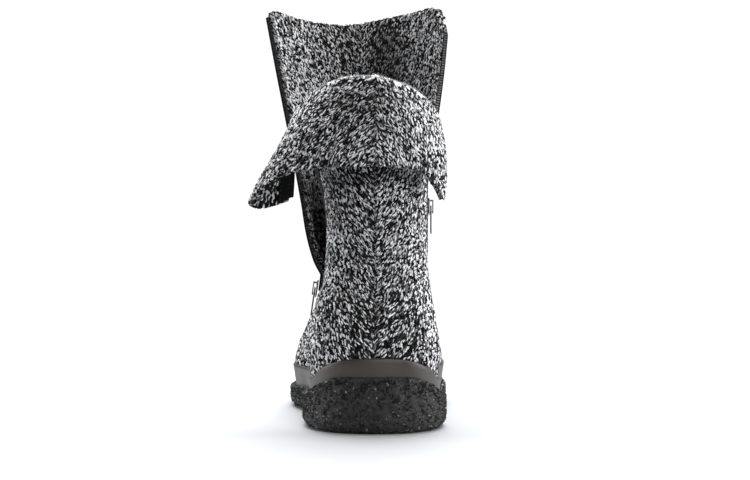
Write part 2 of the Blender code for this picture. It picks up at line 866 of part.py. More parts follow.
def build_slider(side, height, finish):
    """Slider plate with a bridge, and the pull tab whose eye goes round the bridge."""
    frame = slider_frame(side, height)
    base = TAPE_CLEARANCE + TAPE_WALL + SLIDER_CLEARANCE
    face = base + SLIDER_PLATE
    tunnel = 2.0 * PULL_WALL
    top = face + tunnel + BRIDGE_WALL
    half_bridge = 0.5 * BRIDGE_LENGTH
    half_width = 0.5 * BRIDGE_WIDTH
    name = f"zip_slider_{side}"
    plate = box_object(name, (base, -0.5 * SLIDER_WIDTH, -0.5 * SLIDER_LENGTH),
                       (face, 0.5 * SLIDER_WIDTH, 0.5 * SLIDER_LENGTH), finish, SLIDER_BEVEL)
    bridge = helper(f"bridge_{side}", (base + 0.5 * SLIDER_PLATE, -half_width, -half_bridge),
                    (top, half_width, half_bridge), finish)
    inner = half_bridge - 1.3 * BRIDGE_WALL
    cut = helper(f"tunnel_{side}", (face, -2.0 * half_width, -inner),
                 (face + tunnel, 2.0 * half_width, inner), finish)
    boolean(plate, bridge, "UNION")
    boolean(plate, cut, "DIFFERENCE")
    for piece in (plate, bridge, cut):
        piece.matrix_world = frame

    half_pull = 0.5 * PULL_WALL
    pull = box_object(f"zip_pull_{side}", (-half_pull, -0.5 * PULL_WIDTH, -PULL_LENGTH),
                      (half_pull, 0.5 * PULL_WIDTH, half_pull), finish, PULL_BEVEL)
    half_eye = half_width + EYE_CLEARANCE
    eye = helper(f"eye_{side}", (-PULL_WALL, -half_eye, -PULL_EYE),
                 (PULL_WALL, half_eye, -half_pull), finish)
    boolean(pull, eye, "DIFFERENCE")
    axis = frame @ Matrix.Translation((face + 0.5 * tunnel, 0.0, 0.0))
    pull.matrix_world = axis
    eye.matrix_world = axis


def build_zip(side, slider_height, tape_finish, teeth_finish):
    for half, surface in (("front", front_point), ("rear", rear_point)):
        build_strip(f"zip_tape_{side}_{half}", surface, side, tape_section, tape_finish)
        build_strip(f"zip_teeth_{side}_{half}", surface, side, teeth_section, teeth_finish)
    build_slider(side, slider_height, teeth_finish)


def main():
    for piece in list(bpy.data.objects):
        bpy.data.objects.remove(piece, do_unlink=True)
    crepe = material("crepe", (0.018, 0.018, 0.019), 0.9)
    band = material("rand", (0.030, 0.024, 0.022), 0.45)
    knit = material("knit", (0.30, 0.30, 0.30), 0.95)
    sock = material("insole", (0.06, 0.06, 0.06), 0.95)
    tape = material("zip_tape", (0.012, 0.012, 0.013), 0.9)
    metal = material("zip_metal", (0.30, 0.30, 0.31), 0.35, 1.0)
    build_outsole(crepe)
    build_rand(band)
    build_insole(sock)
    build_upper(knit)
    build_zip("outer", OUTER_SLIDER_HEIGHT, tape, metal)
    build_zip("inner", INNER_SLIDER_HEIGHT, tape, metal)


main()
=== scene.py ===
import math

import bmesh
import bpy
import numpy as np
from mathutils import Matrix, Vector


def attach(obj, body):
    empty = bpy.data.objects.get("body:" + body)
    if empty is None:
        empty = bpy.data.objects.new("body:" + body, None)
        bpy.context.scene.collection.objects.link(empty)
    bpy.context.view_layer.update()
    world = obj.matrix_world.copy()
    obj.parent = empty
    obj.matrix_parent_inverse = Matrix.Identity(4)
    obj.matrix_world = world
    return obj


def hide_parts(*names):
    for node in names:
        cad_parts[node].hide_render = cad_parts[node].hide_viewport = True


# Looks of the left snow boot: felted marl knit, smooth rand, crepe sole and two side zips.
# Metres, +Z up, toe towards +Y, outer side towards -X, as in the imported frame.
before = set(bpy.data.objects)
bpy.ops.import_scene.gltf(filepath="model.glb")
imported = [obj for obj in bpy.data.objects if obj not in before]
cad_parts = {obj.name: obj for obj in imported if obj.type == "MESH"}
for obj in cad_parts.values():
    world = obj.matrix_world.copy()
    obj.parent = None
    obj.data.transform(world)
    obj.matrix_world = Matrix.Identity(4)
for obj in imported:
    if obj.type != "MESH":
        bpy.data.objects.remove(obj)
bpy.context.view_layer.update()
random = np.random.default_rng(11)

# Sole and rand, as in the frame
SOLE_LENGTH = 0.275
HEEL_WIDTH = 0.085
BALL_WIDTH = 0.105
SOLE_BACK = -0.040
CREPE_HEEL = 0.0195
CREPE_FOREFOOT = 0.0135
CREPE_BACK_RISE = 0.0125
FOOTBED_HEEL = 0.0165
FOOTBED_FOREFOOT = 0.0105
TOE_SPRING = 0.010
ARCH_LIFT = 0.0025
SOLE_CORNER = 0.0065
CREPE_LIP = 0.0030
CREPE_EDGE = 0.0016
RAND_WALL = 0.0022
RAND_TOP = 0.0285
RAND_BACK_RISE = 0.0150
RAND_TOE_RISE = 0.0060
RAND_CLEARANCE = 0.0005
GAP = 0.0003

# Shares of the sole's length between which its heights and widths change
ARCH_UP = (0.30, 0.40)
ARCH_DOWN = (0.46, 0.56)
TOE_START = 0.74
WIDENING = (0.20, 0.62)
LEVELLING = (0.22, 0.62)
BACK_HUMP = (0.0, 0.15)
TOE_HUMP = (0.72, 1.0)

# Upper, as in the frame
WALL = 0.0030
COLLAR_HEIGHT = 0.250
ZIP_BOTTOM = 0.075
OUTER_SPREAD = 0.0345
INNER_SPREAD = 0.0120
OUTER_FORWARD = 0.025
INNER_FORWARD = 0.018
CREASE_HEIGHT = 0.201
CREASE_OUTER = 0.044
CREASE_INNER = 0.031
CREASE_OUTER_DROP = 0.024
CREASE_INNER_DROP = 0.016
CREASE_BACK = 0.031
CREASE_ENDS = 0.009
FOLD_RADIUS = 0.0028
FOLD_SWEEP = math.radians(62.0)
FOLD_REACH = 0.020
FLAP_OUTER_SWEEP = math.radians(140.0)
FLAP_OUTER = 0.070
FLAP_INNER = 0.0375
FLAP_BACK = 0.044
FLAP_OUTER_END = 0.004
FLAP_INNER_END = -0.010
FLAP_BELLY = 0.003
REAR_TUCK = 0.003
ZIP_GAP = 0.006
ZIP_TAPER = 0.003
OUTER_SLIDER_HEIGHT = 0.080
INNER_SLIDER_HEIGHT = 0.130
SLIDER_LENGTH = 0.0100
OUTER_SWING_START = 0.0040
INNER_SWING_START = 0.0015
TAPE_WIDTH = 0.0080
TAPE_WALL = 0.0006
TAPE_CLEARANCE = 0.0007
TEETH_WIDTH = 0.0018
TEETH_WALL = 0.0018
SPREAD_POWER = 1.4
SLIT_SPAN = 8.0
TUCK_UP = (0.0, 0.08)
TUCK_DOWN = (0.35, 0.75)
LEAN_START = 0.55
BELLY_UP = (0.10, 0.45)

UPPER_INSET = CREPE_LIP + GAP + RAND_WALL + RAND_CLEARANCE
LAST_BACK = SOLE_BACK + UPPER_INSET
LAST_LENGTH = SOLE_LENGTH - 2.0 * UPPER_INSET
LAST_HEEL = HEEL_WIDTH - 2.0 * UPPER_INSET
LAST_BALL = BALL_WIDTH - 2.0 * UPPER_INSET

# Outline of the foot from the heel over the outer side to the toe and back: shares of the length
# and of the local width.
FOOT_PLAN = (
    (0.000, 0.00),
    (0.022, -0.27),
    (0.085, -0.435),
    (0.185, -0.50),
    (0.300, -0.49),
    (0.430, -0.475),
    (0.600, -0.535),
    (0.760, -0.505),
    (0.885, -0.365),
    (0.968, -0.165),
    (1.000, 0.06),
    (0.974, 0.265),
    (0.895, 0.405),
    (0.780, 0.455),
    (0.650, 0.450),
    (0.455, 0.375),
    (0.305, 0.425),
    (0.185, 0.49),
    (0.085, 0.435),
    (0.022, 0.27),
)
SHAFT_HALF = (
    (0.000, 0.000),
    (0.030, -0.200),
    (0.120, -0.380),
    (0.250, -0.480),
    (0.440, -0.500),
    (0.600, -0.470),
    (0.740, -0.400),
    (0.850, -0.310),
    (0.930, -0.210),
    (0.980, -0.105),
    (1.000, 0.000),
)
SHAFT_PLAN = SHAFT_HALF + tuple((along, -across) for along, across in SHAFT_HALF[-2:0:-1])
ZIP_TURN = 4.0 / len(FOOT_PLAN)

# Sections from the sole to the collar: share of the height, back, front, heel, ball, shaft.
BACK, FRONT, HEEL, BALL, SHAFT = range(1, 6)
SECTIONS = (
    (0.000, 0.000, 1.000, 1.000, 1.000, 0.00),
    (0.052, -0.004, 0.998, 1.012, 1.035, 0.00),
    (0.091, -0.010, 0.986, 1.050, 1.050, 0.00),
    (0.142, -0.008, 0.940, 1.037, 0.985, 0.02),
    (0.185, -0.003, 0.868, 0.996, 0.900, 0.08),
    (0.228, 0.006, 0.777, 0.952, 0.820, 0.18),
    (0.271, 0.016, 0.685, 0.905, 0.755, 0.35),
    (0.322, 0.026, 0.592, 0.862, 0.700, 0.60),
    (0.378, 0.032, 0.530, 0.838, 0.665, 0.85),
    (0.442, 0.033, 0.489, 0.826, 0.655, 1.00),
    (0.571, 0.029, 0.456, 0.820, 0.655, 1.00),
    (0.785, 0.020, 0.445, 0.842, 0.665, 1.00),
    (1.000, 0.012, 0.450, 0.864, 0.680, 1.00),
)

# How far the front half's collar stands above or below COLLAR_HEIGHT. Columns: share of the way
# from the outer zip over the front to the inner zip, and that rise.
RISE = 1
COLLAR_RISE = (
    (0.00, 0.0005),
    (0.04, 0.0018),
    (0.15, 0.0008),
    (0.32, 0.0000),
    (0.45, 0.0008),
    (0.60, 0.0035),
    (0.75, 0.0050),
    (0.88, 0.0050),
    (0.95, 0.0015),
    (1.00, -0.0100),
)

# Lower edge of the flap. Columns: place from its outer corner at -1 to its inner corner at 1, and
# the height of the edge.
HEIGHT = 1
FLAP_EDGE = (
    (-1.00, 0.133),
    (-0.88, 0.129),
    (-0.74, 0.128),
    (-0.60, 0.130),
    (-0.44, 0.136),
    (-0.24, 0.147),
    (0.00, 0.150),
    (0.45, 0.150),
    (0.75, 0.146),
    (0.90, 0.139),
    (1.00, 0.133),
)

# Swing of the front half's free edges: share of the way up, outward, forward.
OUT, FORWARD = range(1, 3)
OUTER_SWING = (
    (0.000, 0.000, 0.000),
    (0.055, 0.150, 0.015),
    (0.147, 0.286, 0.050),
    (0.273, 0.385, 0.120),
    (0.565, 0.630, 0.450),
    (0.783, 0.820, 0.740),
    (1.000, 1.000, 1.000),
)
INNER_SWING = (
    (0.000, 0.000, 0.000),
    (0.130, 0.080, 0.050),
    (0.450, 0.500, 0.400),
    (0.725, 0.800, 0.750),
    (1.000, 1.000, 1.000),
)


def smooth(low, high, value):
    """Soft step from 0 at low to 1 at high."""
    share = np.clip((value - low) / (high - low), 0.0, 1.0)
    return share * share * (3.0 - 2.0 * share)


def mix(first, second, share):
    return first + (second - first) * share


def hermite(start, end, slope_in, slope_out, share):
    square = share * share
    cube = square * share
    value = start * (2.0 * cube - 3.0 * square + 1.0) + end * (3.0 * square - 2.0 * cube)
    return value + slope_in * (cube - 2.0 * square + share) + slope_out * (cube - square)


def curve(rows, column, place):
    """Smooth values of one column of a table at places on its first column."""
    table = np.array(rows)
    keys = table[:, 0]
    values = table[:, column]
    last = len(keys) - 1
    place = np.clip(place, keys[0], keys[last])
    index = np.clip(np.searchsorted(keys, place) - 1, 0, last - 1)
    high = np.minimum(np.arange(last + 1) + 1, last)
    low = np.maximum(np.arange(last + 1) - 1, 0)
    slopes = (values[high] - values[low]) / (keys[high] - keys[low])
    step = keys[index + 1] - keys[index]
    share = (place - keys[index]) / step
    return hermite(values[index], values[index + 1], slopes[index] * step, slopes[index + 1] * step, share)


def plan(rows, turn):
    """Shares (along, across) of a closed plan table at shares of the way round."""
    table = np.array(rows)
    count = len(rows)
    place = np.mod(turn, 1.0) * count
    index = np.floor(place).astype(int)
    share = place - index
    values = []
    for column in range(2):
        before, start, end, after = (table[(index + shift) % count, column] for shift in (-1, 0, 1, 2))
        values.append(hermite(start, end, 0.5 * (end - before), 0.5 * (after - start), share))
    return values


def points_of(x, y, z):
    return np.stack(np.broadcast_arrays(x, y, z), axis=-1)


def unit(vectors):
    return vectors / np.maximum(np.linalg.norm(vectors, axis=-1, keepdims=True), 1e-12)


def local_width(along, heel, ball):
    return mix(heel, ball, smooth(*WIDENING, along))


def toe_lift(along):
    toe = np.maximum(along - TOE_START, 0.0) / (1.0 - TOE_START)
    return TOE_SPRING * toe * toe


def ground(along):
    arch = ARCH_LIFT * smooth(*ARCH_UP, along) * (1.0 - smooth(*ARCH_DOWN, along))
    return arch + toe_lift(along)


def heel_to_toe(heel, forefoot, along):
    return mix(heel, forefoot, smooth(*LEVELLING, along)) + toe_lift(along)


def back_hump(along):
    return 1.0 - smooth(*BACK_HUMP, along)


def crepe_top(along):
    return heel_to_toe(CREPE_HEEL, CREPE_FOREFOOT, along) + CREPE_BACK_RISE * back_hump(along)


def footbed(along):
    return heel_to_toe(FOOTBED_HEEL, FOOTBED_FOREFOOT, along)


def rand_top(along):
    return RAND_TOP + RAND_BACK_RISE * back_hump(along) + RAND_TOE_RISE * smooth(*TOE_HUMP, along)


def band_height(share):
    """Height function at a share of the way up the stretch that the rand covers."""
    return lambda along: mix(footbed(along) + GAP, rand_top(along), share)


def along_of(points):
    return (points[..., 1] - SOLE_BACK) / SOLE_LENGTH


def upper_base(turn):
    y = LAST_BACK + LAST_LENGTH * plan(FOOT_PLAN, turn)[0]
    return footbed((y - SOLE_BACK) / SOLE_LENGTH) + GAP


def sole_point(turn):
    along, across = plan(FOOT_PLAN, turn)
    x = across * local_width(along, HEEL_WIDTH, BALL_WIDTH)
    return points_of(x, SOLE_BACK + along * SOLE_LENGTH, 0.0)


def closed_point(turn, up):
    """Outer face of the upper with both zips closed."""
    foot_along, foot_across = plan(FOOT_PLAN, turn)
    shaft_along, shaft_across = plan(SHAFT_PLAN, turn)
    shaft = curve(SECTIONS, SHAFT, up)
    along = mix(foot_along, shaft_along, shaft)
    across = mix(foot_across, shaft_across, shaft)
    heel = LAST_HEEL * curve(SECTIONS, HEEL, up)
    ball = LAST_BALL * curve(SECTIONS, BALL, up)
    back = LAST_BACK + LAST_LENGTH * curve(SECTIONS, BACK, up)
    front = LAST_BACK + LAST_LENGTH * curve(SECTIONS, FRONT, up)
    x = across * local_width(along, heel, ball)
    return points_of(x, mix(back, front, along), mix(upper_base(turn), COLLAR_HEIGHT, up))


def up_at_height(turn, height):
    base = upper_base(turn)
    return (height - base) / (COLLAR_HEIGHT - base)


def half_gap(height):
    return 0.5 * ZIP_GAP * smooth(0.0, ZIP_TAPER, height - ZIP_BOTTOM)


def foot_point(turn, rise):
    """Closed foot. rise runs from the rand's top edge to the zips' bottom."""
    low = up_at_height(turn, rand_top(along_of(closed_point(turn, 0.0))))
    return closed_point(turn, mix(low, up_at_height(turn, ZIP_BOTTOM), rise))


def swing(rows, height, slider_height, start):
    low = slider_height + 0.5 * SLIDER_LENGTH + start
    place = (height - low) / (COLLAR_HEIGHT - low)
    return curve(rows, OUT, place), curve(rows, FORWARD, place)


def edge_gap(share):
    """How near the slit's two ends a share of a half lies, added up."""
    near = np.maximum(1.0 - SLIT_SPAN * share, 0.0)
    far = np.maximum(SLIT_SPAN * share - (SLIT_SPAN - 1.0), 0.0)
    return near + far


def front_point(share, rise):
    """Front half of the shaft. share runs from the outer zip over the front to the inner zip."""
    turn = mix(ZIP_TURN, 1.0 - ZIP_TURN, share)
    point = closed_point(turn, mix(up_at_height(turn, ZIP_BOTTOM), 1.0, rise))
    outer = np.clip(1.0 - share, 0.0, 1.0) ** SPREAD_POWER
    inner = np.clip(share, 0.0, 1.0) ** SPREAD_POWER
    outer_out, outer_forward = swing(OUTER_SWING, point[..., 2], OUTER_SLIDER_HEIGHT, OUTER_SWING_START)
    inner_out, inner_forward = swing(INNER_SWING, point[..., 2], INNER_SLIDER_HEIGHT, INNER_SWING_START)
    point[..., 0] += INNER_SPREAD * inner_out * inner - OUTER_SPREAD * outer_out * outer
    point[..., 1] += INNER_FORWARD * inner_forward * inner + OUTER_FORWARD * outer_forward * outer
    point[..., 1] += half_gap(point[..., 2]) * edge_gap(share)
    point[..., 2] += rise * rise * curve(COLLAR_RISE, RISE, share)
    return point


def arc_round_back(share, outer, inner, back, end, sweep):
    """Plan curve of a folded edge, from its outer end over the back to its inner end."""
    angle = sweep * (2.0 * share - 1.0)
    half = 0.5 * (inner + outer)
    x = 0.5 * (inner - outer) + half * np.sin(angle) / np.sin(np.minimum(sweep, 0.5 * math.pi))
    forward = (1.0 - np.cos(angle)) / (1.0 - np.cos(sweep))
    return x, mix(-back, end, forward)


def crease_point(share):
    x, y = arc_round_back(share, CREASE_OUTER, CREASE_INNER, CREASE_BACK, CREASE_ENDS, FOLD_SWEEP)
    drop = np.where(share < 0.5, CREASE_OUTER_DROP, CREASE_INNER_DROP) * (2.0 * share - 1.0) ** 2
    return points_of(x, y, CREASE_HEIGHT - WALL - drop)


def flap_edge_point(share):
    outer_side = share < 0.5
    end = np.where(outer_side, FLAP_OUTER_END, FLAP_INNER_END)
    sweep = np.where(outer_side, FLAP_OUTER_SWEEP, FOLD_SWEEP)
    x, y = arc_round_back(share, FLAP_OUTER, FLAP_INNER, FLAP_BACK, end, sweep)
    return points_of(x, y, curve(FLAP_EDGE, HEIGHT, 2.0 * share - 1.0))


def fold_direction(share):
    step = 0.01
    tangent = crease_point(share + step) - crease_point(share - step)
    square = unit(points_of(tangent[..., 1], -tangent[..., 0], 0.0))
    reach = flap_edge_point(share) - crease_point(share)
    reach[..., 2] = 0.0
    length = np.linalg.norm(reach, axis=-1, keepdims=True)
    return unit(square + reach / np.maximum(length, FOLD_REACH))


def rear_point(share, rise):
    """Rear half along the cloth: rise 0 to 1 is the panel, 1 to 2 the fold, 2 to 3 the flap."""
    share, rise = np.broadcast_arrays(share, rise)
    crease = crease_point(share)
    panel_rise = np.clip(rise, None, 1.0)
    turn = ZIP_TURN - 2.0 * ZIP_TURN * share
    height = mix(ZIP_BOTTOM, crease[..., 2] - FOLD_RADIUS, panel_rise)
    panel = closed_point(turn, up_at_height(turn, height))
    panel[..., 1] -= half_gap(height) * edge_gap(share)
    tuck = REAR_TUCK * smooth(*TUCK_UP, panel_rise) * (1.0 - smooth(*TUCK_DOWN, panel_rise))
    panel[..., 0] += tuck * np.clip(1.0 - share, 0.0, 1.0) ** 3
    lean = np.maximum((panel_rise - LEAN_START) / (1.0 - LEAN_START), 0.0) ** 2
    panel[..., 0] = mix(panel[..., 0], crease[..., 0], lean)
    panel[..., 1] = mix(panel[..., 1], crease[..., 1], lean)
    panel[..., 2] = height
    away = fold_direction(share)
    angle = math.pi * np.clip(rise - 1.0, 0.0, 1.0)
    fold = crease + away * (FOLD_RADIUS * (1.0 - np.cos(angle)))[..., None]
    fold[..., 2] += FOLD_RADIUS * (np.sin(angle) - 1.0)
    start = crease + away * (2.0 * FOLD_RADIUS)
    start[..., 2] -= FOLD_RADIUS
    down = np.clip(rise - 2.0, 0.0, None)
    flap = mix(start, flap_edge_point(share), down[..., None])
    belly = FLAP_BELLY * smooth(*BELLY_UP, share)
    flap = flap + away * (belly * np.sin(math.pi * np.clip(down, 0.0, 1.0)))[..., None]
    where = rise[..., None]
    return np.where(where <= 1.0, panel, np.where(where <= 2.0, fold, flap))


# Direction of each surface's own normal away from the foot
FLIPS = {foot_point: -1.0, front_point: -1.0, rear_point: 1.0}

# Creases of the knit: middle (x, y, z), direction, length, width and depth.
# A negative depth is a soft ridge.
CREASES = (
    ((0.000, 0.078, 0.094), (1.0, 0.15, 0.10), 0.034, 0.0075, 0.0017),
    ((-0.002, 0.086, 0.087), (1.0, 0.00, 0.05), 0.036, 0.0050, -0.0008),
    ((-0.004, 0.094, 0.079), (1.0, -0.10, 0.05), 0.040, 0.0065, 0.0013),
    ((0.004, 0.070, 0.112), (1.0, 0.10, -0.12), 0.030, 0.0080, 0.0014),
    ((0.002, 0.066, 0.128), (1.0, -0.10, 0.10), 0.026, 0.0090, 0.0008),
    ((-0.020, -0.024, 0.098), (1.0, 0.10, 0.30), 0.016, 0.0055, 0.0010),
    ((0.016, -0.028, 0.090), (1.0, 0.10, -0.25), 0.018, 0.0060, 0.0010),
    ((-0.004, -0.033, 0.110), (1.0, 0.10, 0.12), 0.014, 0.0060, 0.0006),
    ((-0.034, 0.052, 0.088), (0.5, 1.0, -0.55), 0.026, 0.0070, 0.0012),
    ((0.030, 0.056, 0.090), (-0.5, 1.0, -0.50), 0.024, 0.0070, 0.0012),
    ((-0.014, -0.046, 0.182), (0.40, 0.1, 1.0), 0.016, 0.0070, 0.0016),
    ((-0.036, -0.036, 0.160), (0.6, 0.2, 1.0), 0.018, 0.0090, -0.0010),
    ((0.020, -0.046, 0.172), (-0.3, 0.1, 1.0), 0.018, 0.0080, 0.0010),
    ((-0.012, -0.032, 0.130), (0.20, 0.1, 1.0), 0.030, 0.0060, 0.0008),
    ((0.012, -0.036, 0.060), (0.6, 0.1, 1.0), 0.020, 0.0080, 0.0007),
    ((0.000, 0.150, 0.055), (1.0, 0.0, -0.05), 0.026, 0.0080, 0.0008),
)
SEAM_DEPTH = 0.0007
SEAM_WIDTH = 0.0016
LUMP = 0.00007
LUMP_WAVES = 14
LUMP_SIZES = (0.011, 0.026)
STEP = 0.002
ZIP_FADE = (0.02, 0.16)


def seam_of(points):
    """1 on the centre seam behind the heel, 0 away from it."""
    return np.exp(-(points[..., 0] / SEAM_WIDTH) ** 2) * (points[..., 1] < 0.0)


def waves(points, seed, count, sizes):
    """Sum of plane waves in random directions, with lengths between two sizes."""
    draw = np.random.default_rng(seed)
    height = np.zeros(points.shape[:-1])
    for _ in range(count):
        direction = unit(draw.normal(size=3))
        turns = 1.0 / draw.uniform(*sizes)
        phase = draw.uniform(0.0, 2.0 * math.pi)
        height += np.sin(2.0 * math.pi * turns * (points @ direction) + phase)
    return height


def relief(points):
    """Outward height of the soft lumps, the creases and the seam at points of the upper."""
    height = LUMP * waves(points, 5, LUMP_WAVES, LUMP_SIZES) - SEAM_DEPTH * seam_of(points)
    for middle, direction, length, width, depth in CREASES:
        away = points - np.array(middle)
        line = unit(np.array(direction))
        run = away @ line
        side = np.linalg.norm(away - run[..., None] * line, axis=-1)
        height -= depth * np.exp(-(run / length) ** 2 - (side / width) ** 2)
    return height


def frames_of(surface, share, rise):
    """Points, directions round and up, and outward normals on a surface."""
    low, high = share - STEP, share + STEP
    if surface is not foot_point:
        low, high = np.clip(low, 0.0, 1.0), np.clip(high, 0.0, 1.0)
    around = unit(surface(high, rise) - surface(low, rise))
    up = unit(surface(share, rise + STEP) - surface(share, rise - STEP))
    out = unit(np.cross(around, up) * FLIPS[surface])
    return surface(share, rise), around, up, out


def dressed(surface, share, rise):
    """The same, with the relief, which fades out at the zips, where the tapes lie."""
    point, around, up, out = frames_of(surface, share, rise)
    height = relief(point)
    if surface is not foot_point:
        height = height * smooth(*ZIP_FADE, share) * smooth(*ZIP_FADE, 1.0 - share)
    return point + out * height[..., None], around, up, out


def mesh_object(name, points, faces, finish, body="boot"):
    mesh = bpy.data.meshes.new(name)
    mesh.from_pydata(np.asarray(points).tolist(), [], [list(map(int, face)) for face in faces])
    mesh.materials.append(finish)
    mesh.shade_smooth()
    piece = bpy.data.objects.new(name, mesh)
    bpy.context.scene.collection.objects.link(piece)
    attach(piece, body)
    return piece


def grid_faces(rows, columns):
    """Faces between rows of points that each run right round."""
    faces = []
    for low in range(0, (rows - 1) * columns, columns):
        high = low + columns
        for column in range(columns):
            after = (column + 1) % columns
            faces.append((low + column, high + column, high + after, low + after))
    return faces


def closed_piece(name, points, faces, finish):
    """Piece whose faces are turned outwards."""
    piece = mesh_object(name, points, faces, finish)
    work = bmesh.new()
    work.from_mesh(piece.data)
    bmesh.ops.recalc_face_normals(work, faces=work.faces)
    work.to_mesh(piece.data)
    work.free()
    return piece


# Materials
class Finish:
    """A material in the making, with its own nodes, links and shader."""

    def __init__(self, name, roughness, specular=0.5):
        self.material = bpy.data.materials.new(name)
        self.material.use_nodes = True
        self.nodes = self.material.node_tree.nodes
        self.links = self.material.node_tree.links
        self.shader = self.nodes["Principled BSDF"]
        self.shader.inputs["Roughness"].default_value = roughness
        self.shader.inputs["Specular IOR Level"].default_value = specular

    def feed(self, output, socket="Base Color"):
        self.links.new(output, self.shader.inputs[socket])

    def noise(self, scale, detail, roughness):
        where = self.nodes.new("ShaderNodeTexCoord")
        noise = self.nodes.new("ShaderNodeTexNoise")
        noise.inputs["Scale"].default_value = scale
        noise.inputs["Detail"].default_value = detail
        noise.inputs["Roughness"].default_value = roughness
        self.links.new(where.outputs["Object"], noise.inputs["Vector"])
        return noise.outputs["Fac"]

    def ramp(self, source, *stops):
        """Colour ramp from (place, grey or colour) stops."""
        made = self.nodes.new("ShaderNodeValToRGB")
        made.color_ramp.elements[0].position = stops[0][0]
        made.color_ramp.elements[1].position = stops[-1][0]
        for place, _ in stops[1:-1]:
            made.color_ramp.elements.new(place)
        for element, (_, tone) in zip(made.color_ramp.elements, stops):
            colour = tone if isinstance(tone, tuple) else (tone, tone, tone)
            element.color = (*colour, 1.0)
        self.links.new(source, made.inputs["Fac"])
        return made.outputs["Color"]

    def bump(self, height, strength, distance):
        made = self.nodes.new("ShaderNodeBump")
        made.inputs["Strength"].default_value = strength
        made.inputs["Distance"].default_value = distance
        self.links.new(height, made.inputs["Height"])
        self.feed(made.outputs["Normal"], "Normal")

    def point_tones(self):
        """Take the colour from the tone that each point carries."""
        tone = self.nodes.new("ShaderNodeAttribute")
        tone.attribute_name = "tone"
        self.feed(tone.outputs["Color"])


def grained_finish(name, roughness, specular, grain, stops, strength, distance):
    """Material whose colour and bump follow one noise."""
    finish = Finish(name, roughness, specular)
    height = finish.noise(*grain)
    finish.feed(finish.ramp(height, *stops))
    finish.bump(height, strength, distance)
    return finish.material


def knit_base_finish():
    """Dark felt between the yarns."""
    stops = ((0.35, 0.004), (0.52, 0.012), (0.68, 0.06))
    return grained_finish("knit_felt", 0.95, 0.05, (900.0, 4.0, 0.7), stops, 0.8, 0.0006)


def tape_finish():
    """Black woven tape."""
    stops = ((0.35, 0.004), (0.65, 0.020))
    return grained_finish("zip_tape", 0.85, 0.10, (2400.0, 1.0, 0.4), stops, 0.7, 0.0003)


def felt_finish():
    """Dark felt of the insole."""
    stops = ((0.3, 0.018), (0.5, 0.045), (0.7, 0.10))
    return grained_finish("insole_felt", 0.95, 0.5, (1300.0, 5.0, 0.7), stops, 0.7, 0.0005)


def thread_finish():
    """Black sewing thread."""
    stops = ((0.35, 0.010), (0.65, 0.050))
    return grained_finish("thread", 0.6, 0.5, (5200.0, 2.0, 0.5), stops, 0.5, 0.0001)


def yarn_finish():
    """Marl yarn: each stitch has its own tone."""
    yarn = Finish("knit_yarn", 0.92, 0.08)
    yarn.point_tones()
    yarn.bump(yarn.noise(4200.0, 2.0, 0.6), 0.5, 0.0002)
    return yarn.material


def crumb_finish():
    """Crepe crumbs: each has its own tone."""
    crumb = Finish("crepe_crumbs", 0.6, 0.3)
    crumb.point_tones()
    return crumb.material


def crepe_finish():
    """Black crepe with pale specks."""
    crepe = Finish("crepe", 0.62)
    grain = crepe.noise(520.0, 5.0, 0.75)
    specks = crepe.noise(1500.0, 2.0, 0.5)
    blend = crepe.nodes.new("ShaderNodeMix")
    blend.data_type = "RGBA"
    crepe.links.new(crepe.ramp(specks, (0.66, 0.0), (0.74, 1.0)), blend.inputs["Factor"])
    crepe.links.new(crepe.ramp(grain, (0.35, 0.004), (0.55, 0.014), (0.72, 0.045)), blend.inputs["A"])
    blend.inputs["B"].default_value = (0.20, 0.19, 0.18, 1.0)
    crepe.feed(blend.outputs["Result"])
    crepe.bump(grain, 0.9, 0.0012)
    return crepe.material


def rand_finish():
    """Smooth dark band, cloudy in colour and sheen."""
    rand = Finish("rand", 0.5)
    cloud = rand.noise(45.0, 3.0, 0.5)
    rand.feed(rand.ramp(cloud, (0.3, (0.022, 0.018, 0.016)), (0.7, (0.042, 0.034, 0.029))))
    rand.feed(rand.ramp(cloud, (0.3, 0.42), (0.7, 0.56)), "Roughness")
    rand.bump(rand.noise(1600.0, 4.0, 0.6), 0.25, 0.0003)
    return rand.material


def metal_finish():
    """Dark nickel, a little worn."""
    metal = Finish("zip_metal", 0.5)
    wear = metal.noise(1100.0, 4.0, 0.6)
    metal.shader.inputs["Metallic"].default_value = 1.0
    metal.feed(metal.ramp(wear, (0.35, 0.05), (0.65, 0.14)))
    metal.feed(metal.ramp(wear, (0.3, 0.25), (0.7, 0.45)), "Roughness")
    metal.bump(wear, 0.15, 0.0001)
    return metal.material


KNIT_BASE = knit_base_finish()
YARN = yarn_finish()
THREAD = thread_finish()
CREPE = crepe_finish()
CRUMB = crumb_finish()
RAND = rand_finish()
TAPE = tape_finish()
METAL = metal_finish()
FELT = felt_finish()

# Upper's skin
COLUMNS = 160
RAND_ROWS = 3
FOOT_ROWS = 22
FRONT_ROWS = 60
PANEL_ROWS = 44
FOLD_ROWS = 8
FLAP_ROWS = 22


def wall_points(turns, height_of, offset):
    """Ring round the upper's own wall at height_of(along), moved outwards in plan."""
    along = along_of(closed_point(turns, 0.0))
    ring = closed_point(turns, np.maximum(up_at_height(turns, height_of(along)), 0.0))
    return inset(ring, -offset)


def inset(ring, distance):
    """Closed plan ring moved inwards, square to itself."""
    tangent = np.roll(ring, -1, axis=0) - np.roll(ring, 1, axis=0)
    inward = unit(points_of(tangent[:, 1], -tangent[:, 0], 0.0))
    return ring + inward * np.reshape(distance, (-1, 1))


def rises_above(start, rows):
    return np.linspace(start, start + 1.0, rows + 1)[1:]


